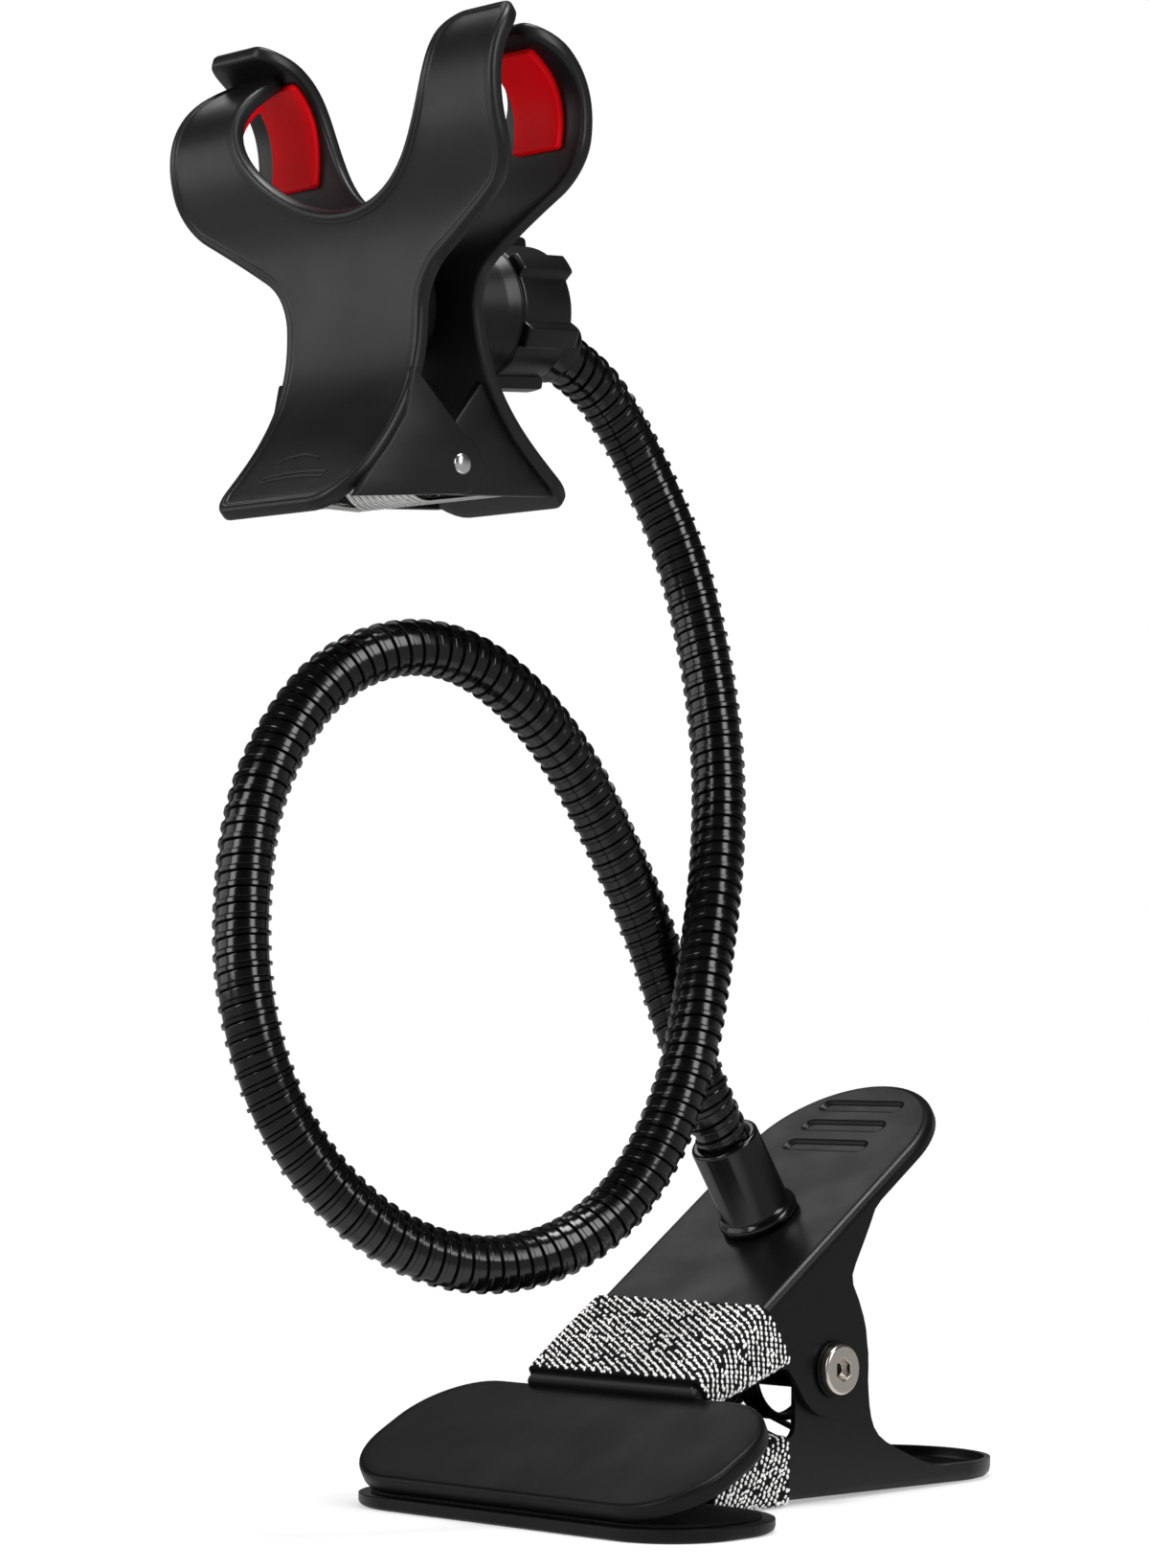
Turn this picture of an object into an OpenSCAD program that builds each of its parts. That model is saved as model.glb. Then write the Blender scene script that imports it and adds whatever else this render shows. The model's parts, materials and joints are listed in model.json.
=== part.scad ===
// Flexible phone holder: a spring clamp for a table edge, a ribbed
// gooseneck, and a sprung four-armed clip on a ball joint.
// Millimetres. X runs along the clamp's pivot, -Y is the jaw end, and the
// floor is z = 0. The origin is the middle of the lower pad's underside.

/* [Clamp levers] */
// Width of the upper lever over its side walls
lever_w = 45; // [42:0.5:50]
// Thickness of the pressed sheet
sheet_t = 1.2; // [1:0.1:1.4]
// Height of the pivot above the floor
pivot_h = 26; // [25:0.5:28]
// Slope of the upper lever with the jaws closed
lever_slope = 34; // [32:0.5:36]
// Pivot to the outside of the upper lever's plate
lever_rise = 21.8; // [20.5:0.1:23]
// Length of both levers behind the pivot
tail_len = 67; // [58:1:74]
// Length of the upper lever in front of the pivot
nose_len = 35; // [33:0.5:37]
// Radius of the ears round the pivot
ear_r = 11; // [10:0.5:12]
// Depth of the turned rim round each tail
rim_depth = 3; // [2:0.5:4]
// Diameter of the pivot shaft
pivot_d = 6; // [5:0.5:7]
// Diameter of the pivot's flat heads
head_d = 10; // [9:0.5:12]

/* [Jaw pads and straps] */
// Length of a pad along the pivot
pad_l = 94; // [84:1:104]
// Depth of a pad
pad_d = 37; // [34:0.5:40]
// Corner radius of a pad
pad_r = 16; // [12:0.5:17]
// Thickness of the lower pad
pad_t = 2.6; // [2.4:0.1:3.2]
// Slope of the upper pad with the jaws closed
pad_slope = 27; // [26:0.5:28]
// Front edge of the pads, in front of the pivot
pad_front = 72; // [71:0.5:73]
// Thickness of the rubber facing on each pad
grip_t = 0.5; // [0.4:0.1:0.7]
// Thickness of the woven elastic sleeves
strap_t = 0.8; // [0.6:0.1:0.9]

/* [Gooseneck] */
// Diameter over the ribs
hose_d = 11; // [10:0.25:12]
// How far each rib stands proud
rib_h = 0.5; // [0.3:0.1:0.7]
// Distance from rib to rib
rib_pitch = 3; // [2.5:0.25:4]
// Outside diameter of the collar on the lever
collar_d = 14.2; // [13.5:0.1:15]
// Height of the collar
collar_l = 22; // [18:0.5:26]
// Distance from the pivot to the collar's axis, along the lever
collar_at = 19; // [17:0.5:21]
// Depth that the hose sinks into the collar
hose_seat = 12; // [8:0.5:14]

/* [Ball joint] */
// Diameter of the ball
ball_d = 16; // [15:0.25:17]
// Angle of the stud below the level
stud_drop = 23.5; // [20:0.5:26]
// Diameter of the stud's neck
neck_d = 6.6; // [6:0.1:7]
// Outside diameter of the lock nut's body
nut_d = 27; // [25:0.5:29]
// Length of the lock nut
nut_l = 13.5; // [12.5:0.5:14.5]
// Number of grip lobes on the lock nut
nut_lobes = 6; // [4:1:8]

/* [Phone clip] */
// Where the clip's pin is
clip_at = [-20, -25.5, 200];
// Forward lean of the clip
clip_lean = 5.5; // [4:0.5:7]
// Half the width of the plates at the waist
waist_w = 19; // [18:0.2:22]
// Half the width of the plates over the arms
arm_w = 46.5; // [42:0.2:50]
// Radius of the notch between the arms
notch_r = 25; // [22:0.5:26]
// Thickness of the plates
plate_t = 2.6; // [2:0.1:3]
// How far the rim bead stands proud of a plate
bead_h = 0.8; // [0.4:0.1:1.2]
// Width of the rim bead
bead_w = 2.4; // [1.8:0.2:3]
// Diameter of the clip's pin
pin_d = 4; // [3.5:0.25:4.5]
// Thickness of the clip's ears
clip_ear_t = 2; // [1.6:0.1:2.2]
// Thickness of the red grip pads
red_t = 1.3; // [0.8:0.1:1.8]

/* [Hidden] */
$fn = 48;
eps = 0.01;
// clearances: turning, pressed or stacked, between moving pieces
run_c = 0.05;
seat_c = 0.02;
gap_c = 0.3;
// facets of the pieces that are swept or lofted
hull_fn = 32;
hose_sides = 12;
wire_sides = 6;

// Clamp
washer_t = 0.8;
bolt_head_t = 1.8;
lower_w = lever_w - 2 * (sheet_t + 0.4);
ear_off = 1.5;
lever_round = 2;
rivet_d = 3.2;
rivet_x = 14;
rivet_back = 3.8;
// how far the lower lever's plate is held off the floor by its strap
strap_lift = strap_t + 0.2;
// lower lever, in its own level frame with the pivot at its origin
lower_nose = 44;
lower_rest = tail_len - 4;
strap_back = 14;
lower_tilt = asin(strap_lift / (lower_rest + strap_back));
lower_rise = pivot_h - strap_lift * lower_rest / (lower_rest + strap_back);
pivot_y = pad_front - pad_d / 2;

// Jaw line: where the upper pad's front edge stands over the lower pad
jaw_back = 2;
jaw = [-pad_d / 2 + jaw_back, pad_t + gap_c];
grip_inset = 2.5;
upper_pad_t = 3.4;
pad_round = 1.2;
sleeve_round = 1.2;

// Gooseneck
core_r = hose_d / 2 - rib_h;
cup_r = core_r + 0.5;
collar_ring = 15.4;
collar_ring_h = 2.6;

// Ball joint, in the clip's frame
ball_y = 33;
ball_z = 31.8;
nut_back = ball_y - 8;
socket_y = 5.8;
seat_gap = 0.15;
boss_r = ball_d / 2 + 2.6;
neck_l = 11.5;
sleeve_l = 9;
sleeve_floor = 2;
sleeve_d = hose_d + 2.6;

// Clip plates, half of the front view and the side profile
lip_z = -6.5;
arm_slope = 30.5;
waist_top = 28.4;
arm_round = 12;
notch_z = 75.5;
tip_round = 5;
ear_x = 19.4;
// each plate has a high arm, whose tip laps over the other plate's low arm
high_z = 85.5;
low_z = 80.5;
high_lap = -3;
low_lap = 0.6;
clip_ear_r = 5.6;
pin_head = pin_d / 2 + 0.4;
pin_ball = pin_d / 2 + 0.9;
pin_dome = 1.3;
spring_wire = 0.7;
spring_half = 9;
spring_leg = ear_x + 1.1;

// The gooseneck's route between the collar and the ball stud
hose_route = [
    [-3, -16, 91], [-7, -17, 103], [-9, -22, 117], [-10, -30, 131], [-11, -39, 145],
    [-11, -51, 156], [-13, -65, 165], [-16, -80, 167], [-20, -95, 161], [-22, -105, 149],
    [-22, -113, 135], [-20, -117, 119], [-18, -119, 104], [-15, -118, 89], [-12, -113, 74],
    [-7, -104, 61], [-2, -92, 52], [3, -78, 48], [7, -62, 50], [10, -48, 58],
    [12, -38, 71], [12, -30, 86], [9, -23, 103], [4, -14, 120], [-1, -7, 138],
    [-5, -4, 156], [-9, -4, 174], [-13, -6, 191], [-17, -10, 204], [-19, -16, 215]
];
// where the gooseneck bends, as lengths along it from the collar's foot
bend_low = 31;
bend_mid = 440;
bend_high = 495;

// Vectors and curves

function unit(v) = v / norm(v);
function arc(c, r, a0, a1, n) =
    [for (i = [0:n]) c + r * [cos(a0 + (a1 - a0) * i / n), sin(a0 + (a1 - a0) * i / n)]];
function reversed(p) = [for (i = [len(p) - 1:-1:0]) p[i]];
// uniform cubic B-spline: t counts the spans
function spline(p, t) =
    let (i = min(floor(t), len(p) - 4), f = t - i)
    (pow(1 - f, 3) * p[i] + (3 * pow(f, 3) - 6 * f * f + 4) * p[i + 1]
        + (-3 * pow(f, 3) + 3 * f * f + 3 * f + 1) * p[i + 2] + pow(f, 3) * p[i + 3]) / 6;
function spline_points(p, steps) =
    [for (k = [0:steps]) spline(p, k * (len(p) - 3) / steps)];

// Places on the upper lever: u runs to the tail, v away from the floor
function lever_place(u, v) =
    [0, pivot_y + u * cos(lever_slope) - v * sin(lever_slope),
     pivot_h + u * sin(lever_slope) + v * cos(lever_slope)];
// a point of the upper pad, p along its inner face and n through it, on the lever's u and v
function pad_on_lever(p, n) =
    let (y = jaw[0] - pivot_y + p * cos(pad_slope) - n * sin(pad_slope),
         z = jaw[1] + p * sin(pad_slope) + n * cos(pad_slope) - pivot_h)
    [y * cos(lever_slope) + z * sin(lever_slope), -y * sin(lever_slope) + z * cos(lever_slope)];

module on_pivot() { translate([0, pivot_y, pivot_h]) children(); }
module on_upper() { on_pivot() rotate([lever_slope, 0, 0]) children(); }
module on_lower() { on_pivot() rotate([-lower_tilt, 0, 0]) children(); }
module on_upper_pad() {
    translate([0, jaw[0], jaw[1]]) rotate([pad_slope, 0, 0]) children();
}
module on_clip() { translate(clip_at) rotate([clip_lean, 0, 0]) children(); }
// turns a drawing of (y, z) into a wall of width w across X
module across(w) { translate([-w / 2, 0, 0]) rotate([90, 0, 90]) linear_extrude(w) children(); }
module axle(d, x0, x1) {
    translate([x0, 0, 0]) rotate([0, 90, 0]) cylinder(d = d, h = x1 - x0);
}

// Pressed levers

module lever_plan(w, nose, tail) {
    translate([-w / 2, -nose]) square([w, nose + tail - w / 2]);
    translate([0, tail - w / 2]) circle(d = w, $fn = hull_fn * 2);
}
// a pressing with a rounded top edge: its flat top is at z = 0
module pressing(w, nose, tail, depth, round) {
    hull() {
        translate([0, 0, -depth]) linear_extrude(depth - round) lever_plan(w, nose, tail);
        for (a = [30, 60, 90])
            translate([0, 0, round * (sin(a) - 1) - eps]) linear_extrude(eps)
                lever_plan(w - 2 * round * (1 - cos(a)), nose, tail - round * (1 - cos(a)));
    }
}
module pressed_shell(w, nose, tail, depth, front_wall) {
    difference() {
        pressing(w, nose, tail, depth, lever_round);
        translate([0, 0, -sheet_t])
            pressing(w - 2 * sheet_t, nose - front_wall, tail - sheet_t, depth, lever_round - sheet_t + 0.4);
    }
}
module thumb_grooves() {
    for (k = [0:2]) translate([0, tail_len - 20 + 7 * k, 0]) {
        translate([-11, -1.4, -0.7]) cube([22, 2.8, 1]);
        for (x = [-11, 11]) translate([x, 0, -0.7]) cylinder(d = 2.8, h = 1);
    }
}

module upper_lever() color("#1c1c1d") on_upper() difference() {
    intersection() {
        translate([0, 0, lever_rise])
            pressed_shell(lever_w, nose_len, tail_len, lever_rise + ear_r + 1, sheet_t);
        union() {
            across(lever_w + 1) polygon(concat(
                [[-nose_len - 1, lever_rise + 1], pad_on_lever(pad_d - 7, upper_pad_t + seat_c),
                 pad_on_lever(pad_d, upper_pad_t + seat_c)],
                [[-ear_r - 4, lever_rise - 10], [ear_off - ear_r, lever_rise - 12],
                 [ear_off - ear_r, 0], [ear_off + ear_r, 0]],
                spline_points([[13.2, -6], [13.8, 2], [14.8, 9], [19, 14.8], [31, 18.6],
                    [44, lever_rise - rim_depth], [54, lever_rise - rim_depth]], 10),
                [[tail_len + 1, lever_rise - rim_depth], [tail_len + 1, lever_rise + 1]]));
            translate([0, ear_off, 0]) axle(2 * ear_r, -lever_w / 2 - 1, lever_w / 2 + 1);
        }
    }
    axle(pivot_d + 2 * run_c, -lever_w, lever_w);
    translate([0, 0, lever_rise]) thumb_grooves();
    translate([0, collar_at, 0]) cylinder(d = 5 + 2 * seat_c, h = lever_rise + 1);
    rivet_places() translate([0, 0, -8]) cylinder(d = rivet_d + 2 * seat_c, h = 9);
}

module lower_lever() color("#1c1c1d") on_lower() difference() {
    intersection() {
        translate([0, 0, -lower_rise]) mirror([0, 0, 1])
            pressed_shell(lower_w, lower_nose, tail_len - 2, lower_rise + ear_r + 1, -1);
        union() {
            across(lever_w) polygon(concat(
                [[-lower_nose - 1, -lower_rise - 1], [-lower_nose - 1, -lower_rise + sheet_t],
                 [-pad_front + pad_d + 0.6, -lower_rise + sheet_t], [-pad_front + pad_d + 1, -lower_rise + 4.5],
                 [-12, -13.2]],
                arc([-12.4, -10.4], 2.8, -80, -10, 4),
                [[ear_off - ear_r, -6], [ear_off - ear_r, 0], [ear_off + ear_r, 0]],
                spline_points([[12, 3], [12.4, -3], [12.8, -9], [14.6, -14], [21, -16.8], [33, -21.6],
                    [40, -lower_rise + rim_depth + 1], [46, -lower_rise + rim_depth + 1]], 12),
                [[tail_len, -lower_rise + rim_depth + 1], [tail_len, -lower_rise - 1]]));
            translate([0, ear_off, 0]) axle(2 * ear_r, -lever_w / 2, lever_w / 2);
        }
    }
    axle(pivot_d + 2 * seat_c, -lever_w, lever_w);
    translate([0, 0, -lower_rise]) mirror([0, 0, 1]) thumb_grooves();
    lower_rivet_places() translate([0, 0, -1]) cylinder(d = rivet_d + 2 * seat_c, h = 4);
}

// Pivot

module pivot_bolt() color("#c9c2ba") on_pivot() difference() {
    x0 = lever_w / 2 + washer_t + 2 * seat_c;
    union() {
        axle(pivot_d, -lever_w / 2 - washer_t, x0 + eps);
        axle(head_d, x0, x0 + bolt_head_t - 0.4);
        translate([x0 + bolt_head_t - 0.4, 0, 0]) rotate([0, 90, 0])
            cylinder(d1 = head_d, d2 = head_d - 0.8, h = 0.4);
    }
    translate([x0 + 0.3, 0, 0]) rotate([0, 90, 0]) cylinder(d = 4.6, h = 4, $fn = 6);
    axle(2.4, x0 - 4, x0 + 1);
}
module pivot_nut() color("#c9c2ba") on_pivot() {
    x0 = -lever_w / 2 - washer_t - 2 * seat_c;
    axle(head_d, x0 - bolt_head_t + 0.4, x0);
    translate([x0 - bolt_head_t, 0, 0]) rotate([0, 90, 0])
        cylinder(d1 = head_d - 0.8, d2 = head_d, h = 0.4);
}
module pivot_washers() color("#2a2a2b") on_pivot()
    for (s = [-1, 1]) scale([s, 1, 1]) difference() {
        axle(head_d + 1.2, lever_w / 2 + seat_c, lever_w / 2 + seat_c + washer_t);
        axle(pivot_d + 2 * seat_c, lever_w / 2 - 1, lever_w / 2 + 2);
    }
module pivot_sleeve() color("#3a3a3c") on_pivot() difference() {
    axle(pivot_d + 2.4, -lower_w / 2 + sheet_t + seat_c, lower_w / 2 - sheet_t - seat_c);
    axle(pivot_d + 2 * seat_c, -lever_w / 2, lever_w / 2);
}

// Jaw pads

module rounded_plate(l, d, r) {
    translate([-l / 2 + r, 0]) square([l - 2 * r, d]);
    translate([-l / 2, r]) square([l, d - 2 * r]);
    for (x = [-l / 2 + r, l / 2 - r], y = [r, d - r]) translate([x, y]) circle(r = r, $fn = 64);
}
// a moulded pad: its inner face is at z = 0 and its rounded outer face at z = pad_t
module pad_body(t) {
    hull() {
        linear_extrude(t - pad_round) rounded_plate(pad_l, pad_d, pad_r);
        for (a = [35, 90]) translate([0, 0, t - pad_round * (1 - sin(a)) - eps]) linear_extrude(eps)
            translate([0, pad_round * (1 - cos(a))])
                rounded_plate(pad_l - 2 * pad_round * (1 - cos(a)), pad_d - 2 * pad_round * (1 - cos(a)),
                    pad_r - pad_round * (1 - cos(a)));
    }
}
module grip_sheet() linear_extrude(grip_t) translate([0, grip_inset])
    rounded_plate(pad_l - 2 * grip_inset, pad_d - 2 * grip_inset, pad_r - grip_inset);

// rivets hold the root of the upper pad inside the lever's nose, and the lower nose in its pad
module rivet_places() for (x = [-rivet_x, rivet_x])
    translate([x, -nose_len + 6.5, lever_rise]) children();
module lower_rivet_places() for (x = [-rivet_x, rivet_x])
    translate([x, -lower_nose + rivet_back, -lower_rise]) children();

module upper_pad() color("#161617") difference() {
    union() {
        on_upper_pad() pad_body(upper_pad_t);
        on_upper() intersection() {
            across(lower_w - 1.6) polygon([
                pad_on_lever(pad_d - 2, 1), pad_on_lever(pad_d - 0.3, 1),
                [-nose_len + 11, lever_rise - 6], [-nose_len + 11, lever_rise - sheet_t - seat_c],
                [-nose_len + sheet_t + gap_c, lever_rise - sheet_t - seat_c],
                [-nose_len + sheet_t + gap_c, pad_on_lever(pad_d, upper_pad_t - 0.6)[1]],
                pad_on_lever(pad_d - 4, upper_pad_t - 0.8)]);
        }
    }
    on_upper() rivet_places() translate([0, 0, -8]) cylinder(d = rivet_d + 2 * seat_c, h = 9);
}
module upper_grip() color("#0e0e0f") on_upper_pad() translate([0, 0, -grip_t - seat_c]) grip_sheet();
module upper_pad_rivets() color("#8d8d90") on_upper() rivet_places()
    translate([0, 0, -5]) cylinder(d = rivet_d, h = 5 - seat_c);

module lower_pad() color("#161617") difference() {
    translate([0, -pad_d / 2, pad_t]) mirror([0, 0, 1]) pad_body(pad_t);
    // the lever's nose lies in a pocket under the rubber facing
    on_lower() translate([-lower_w / 2 - gap_c, -lower_nose - gap_c, -lower_rise - seat_c])
        cube([lower_w + 2 * gap_c, 12, pad_t]);
    on_lower() lower_rivet_places() translate([0, 0, -1 - seat_c])
        cylinder(d = rivet_d + 2 * seat_c, h = 3);
}
module lower_grip() color("#0e0e0f") translate([0, -pad_d / 2, pad_t + seat_c]) grip_sheet();
module lower_pad_rivets() color("#8d8d90") on_lower() lower_rivet_places()
    translate([0, 0, -1]) cylinder(d = rivet_d, h = 1 + sheet_t);

// Woven elastic sleeves

// a sleeve between two upright sections, each [y, low, high], for a half width w inside:
// its flat side's corners are rounded, on top for s = 1 and underneath for s = -1
module sleeve_block(a, b, w, r, s) intersection() {
    flat = s > 0 ? a[2] : a[1];
    across(2 * w) polygon([[a[0], a[1]], [b[0], b[1]], [b[0], b[2]], [a[0], a[2]]]);
    rotate([90, 0, 0]) linear_extrude(200, center = true) polygon(concat(
        [[-w, flat - s * 60], [w, flat - s * 60]],
        arc([w - r, flat - s * r], r, 0, s * 90, 6), arc([-w + r, flat - s * r], r, s * 90, s * 180, 6)));
}
module sleeve(a, b, w, t, s) difference() {
    sleeve_block(a, b, w + t, t + sleeve_round, s);
    sleeve_block([a[0] - 1, a[1] + t, a[2] - t], [b[0] + 1, b[1] + t, b[2] - t], w, sleeve_round, s);
}
module upper_strap() color("#8a8a8a") on_upper() sleeve(
    [-nose_len + 3.8, lever_rise - 5.2 - strap_t, lever_rise + strap_t + gap_c],
    [ear_off - ear_r - 0.2, lever_rise - 12.2 - strap_t, lever_rise + strap_t + gap_c],
    lever_w / 2 + gap_c, strap_t, 1);
module lower_strap() color("#8a8a8a") on_lower() sleeve(
    [-pad_front + pad_d + 1, -lower_rise - strap_t - 0.05, -lower_rise + 6.6 + strap_t],
    [-12.3, -lower_rise - strap_t - 0.05, -13.2 + gap_c + strap_t], lower_w / 2 + gap_c, strap_t, -1);

// Springs

// rings of a swept body: each is [centre, along, radius], and ref sets where the sides start
module swept(rings, ref, sides) {
    n = len(rings);
    points = [for (g = rings)
        let (t = unit(g[1]), a = unit(cross(ref, t)), b = cross(t, a))
        for (k = [0:sides - 1])
            g[0] + g[2] * (cos(360 * k / sides) * a + sin(360 * k / sides) * b)];
    polyhedron(points, concat(
        [[for (k = [0:sides - 1]) k]],
        [for (i = [0:n - 2], k = [0:sides - 1])
            [i * sides + k, (i + 1) * sides + k, (i + 1) * sides + (k + 1) % sides, i * sides + (k + 1) % sides]],
        [[for (k = [sides - 1:-1:0]) (n - 1) * sides + k]]), convexity = 10);
}
// a wire through points, as rings that look along it
function wire_rings(p, r) = [for (i = [0:len(p) - 1])
    [p[i], p[min(i + 1, len(p) - 1)] - p[max(i - 1, 0)], r]];
// one coil on the X axis from x0, with tangent legs that leave backwards and press the tails
function coil_path(x0, pitch, turns, r, a0, leg_in, leg_out) = concat(
    [leg_in],
    [for (k = [0:turns * 12]) [x0 + pitch * k / 12, r * cos(a0 + 30 * k), r * sin(a0 + 30 * k)]],
    [leg_out]);

module base_spring() color("#1a1a1b") on_lower() for (s = [-1, 1]) {
    wire_r = 0.95;
    tail_in = lever_rise - sheet_t - wire_r - seat_c;
    lean = lever_slope + lower_tilt;
    leg = tail_len * 0.66;
    swept(wire_rings(coil_path(s * 5, s * 2.15, 4.25, pivot_d / 2 + 2.5, 144,
        [s * 5, leg * cos(lean) - tail_in * sin(lean), leg * sin(lean) + tail_in * cos(lean)],
        [s * 15, tail_len * 0.48, -lower_rise + sheet_t + wire_r + seat_c]), wire_r),
        [s, 0, 0.02], wire_sides);
}

// Collar and gooseneck

module collar() color("#0b0b0c") translate(lever_place(collar_at, lever_rise + seat_c))
    rotate([lever_slope, 0, 0]) difference() {
        rotate_extrude() polygon(concat(
            [[0, 0], [collar_ring / 2 - 0.4, 0]],
            arc([collar_ring / 2 - 0.9, collar_ring_h / 2], collar_ring_h / 2, -60, 60, 6),
            [[collar_d / 2 + 0.2, collar_ring_h], [collar_d / 2, collar_ring_h + 0.6]],
            arc([collar_d / 2 - 0.8, collar_l - 0.8], 0.8, 0, 90, 4), [[0, collar_l]]));
        translate([0, 0, collar_l - hose_seat]) cylinder(r = core_r + 0.06, h = hose_seat + 1);
        translate([0, 0, -1]) cylinder(d = 4.4, h = 8);
    }
module collar_screw() color("#8d8d90") translate(lever_place(collar_at, lever_rise))
    rotate([lever_slope, 0, 0]) {
        translate([0, 0, -sheet_t - 1]) cylinder(d = 4.3, h = sheet_t + 6);
        difference() {
            translate([0, 0, -sheet_t - seat_c - 2.2]) cylinder(d1 = 7, d2 = 8.4, h = 2.2);
            for (a = [0, 90]) rotate(a) translate([-2.4, -0.4, -sheet_t - 3]) cube([4.8, 0.8, 1.8]);
        }
    }

function collar_point(h) = lever_place(collar_at, lever_rise + h);
function clip_place(y, z) = clip_at + [0, y * cos(clip_lean) - z * sin(clip_lean),
    y * sin(clip_lean) + z * cos(clip_lean)];
stud_dir = [0, cos(stud_drop), -sin(stud_drop)];
function stud_point(h) = clip_place(ball_y, ball_z) + h * stud_dir;
hose_foot = 4;
hose_head = 12;
hose_controls = concat([for (h = [-9, 0, 9, 18, 25]) collar_point(h + hose_foot)],
    [for (p = hose_route) p + [0, pivot_y, 0]],
    [for (h = [16, 8, 0, -8]) stud_point(h + hose_head)]);
hose_steps = (len(hose_controls) - 3) * 12;
hose_line = spline_points(hose_controls, hose_steps);
hose_lengths = [for (i = 0, s = 0; i <= hose_steps;
    s = s + (i < hose_steps ? norm(hose_line[i + 1] - hose_line[i]) : 0), i = i + 1) s];
function hose_axis(k) = [for (i = [0:hose_steps]) [hose_lengths[i], hose_line[i][k]]];
hose_x = hose_axis(0);
hose_y = hose_axis(1);
hose_z = hose_axis(2);
hose_end = hose_lengths[hose_steps];
function hose_at(s) = [lookup(s, hose_x), lookup(s, hose_y), lookup(s, hose_z)];
function hose_dir(s) = unit(hose_at(s + 1.5) - hose_at(s - 1.5));

// ribs between two lengths: each starts in a valley and crests half a pitch on
function ribbed(s0, s1) = let (n = floor((s1 - s0) / rib_pitch))
    concat([for (k = [0:n - 1], c = [0, 1])
        let (s = s0 + rib_pitch * (k + c / 2)) [hose_at(s), hose_dir(s), core_r + c * rib_h]],
        [[hose_at(s0 + n * rib_pitch), hose_dir(s0 + n * rib_pitch), core_r]]);
// a plain end, a round end about a bend, and the cup that turns round it
function plain_end(s) = [[hose_at(s), hose_dir(s), core_r]];
function ball_end(s) = [for (a = [0, 22, 44, 66, 82])
    [hose_at(s) + core_r * sin(a) * hose_dir(s), hose_dir(s), core_r * cos(a)]];
function cup_end(s) = [for (a = [8, 28, 48, asin(core_r / cup_r)])
    [hose_at(s) + cup_r * cos(a) * hose_dir(s), hose_dir(s), cup_r * sin(a)]];
cup_depth = sqrt(cup_r * cup_r - core_r * core_r);
module hose_section(rings) color("#0c0c0d") swept(rings, [1, 0, 0], hose_sides);

module hose_root() hose_section(concat(
    plain_end(hose_start), ribbed(hose_start + hose_seat, bend_low - 1.5), ball_end(bend_low)));
module hose_loop() hose_section(concat(
    cup_end(bend_low), ribbed(bend_low + cup_depth + 0.8, bend_mid - 1.5), ball_end(bend_mid)));
module hose_rise() hose_section(concat(
    cup_end(bend_mid), ribbed(bend_mid + cup_depth + 0.8, bend_high - 1.5), ball_end(bend_high)));
module hose_tip() hose_section(concat(
    cup_end(bend_high), ribbed(bend_high + cup_depth + 0.8, hose_stop - sleeve_l + sleeve_floor - 0.3), plain_end(hose_stop)));
// the hose starts in the collar and stops in the stud's sleeve
hose_start = collar_l - hose_seat - hose_foot + 0.2;
hose_stop = hose_end - (neck_l + sleeve_floor + 0.2 - hose_head);

// Ball joint

module ball_stud() color("#0b0b0c") translate(clip_place(ball_y, ball_z))
    rotate([-90 - stud_drop, 0, 0]) difference() {
        union() {
            sphere(d = ball_d, $fn = 64);
            cylinder(d = neck_d, h = neck_l + 0.5);
            translate([0, 0, neck_l]) rotate_extrude() polygon([[0, 0], [neck_d / 2, 0],
                [sleeve_d / 2 - 0.8, 1.2], [sleeve_d / 2, 2], [sleeve_d / 2, sleeve_l - 0.6],
                [sleeve_d / 2 - 0.6, sleeve_l], [0, sleeve_l]]);
        }
        translate([0, 0, neck_l + sleeve_floor]) cylinder(r = core_r + 0.06, h = sleeve_l);
    }

module on_ball_axis() on_clip() translate([0, 0, ball_z]) rotate([-90, 0, 0]) children();

module ball_socket() color("#141415") on_ball_axis() difference() {
    rotate_extrude() polygon([[0, socket_y - plate_t - 0.2], [6.9, socket_y - plate_t - 0.2],
        [6.9, socket_y + plate_t + 0.5], [10, socket_y + plate_t + 1.1], [10.4, 12],
        [nut_d / 2 - 1.2, 22], [nut_d / 2, 25], [nut_d / 2, nut_back - 1.2], [nut_d / 2 - 0.6, nut_back - 0.6],
        [boss_r, nut_back - 0.6], [boss_r, ball_y + 1.5], [0, ball_y + 1.5]]);
    translate([0, 0, ball_y]) sphere(r = ball_d / 2 + seat_gap, $fn = 64);
    translate([0, 0, ball_y]) cylinder(r = ball_d / 2 + seat_gap, h = 3);
    cylinder(d = 3.2, h = 12);
}
module socket_retainer() color("#141415") on_ball_axis() {
    difference() {
        translate([0, 0, socket_y - plate_t - 6.9]) cylinder(d = nut_d - 3, h = 6.6);
        translate([0, 0, socket_y - plate_t - 8]) cylinder(d = 16, h = 4);
    }
    translate([0, 0, socket_y - plate_t - 0.35]) cylinder(d = 3.1, h = 9);
}
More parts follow.
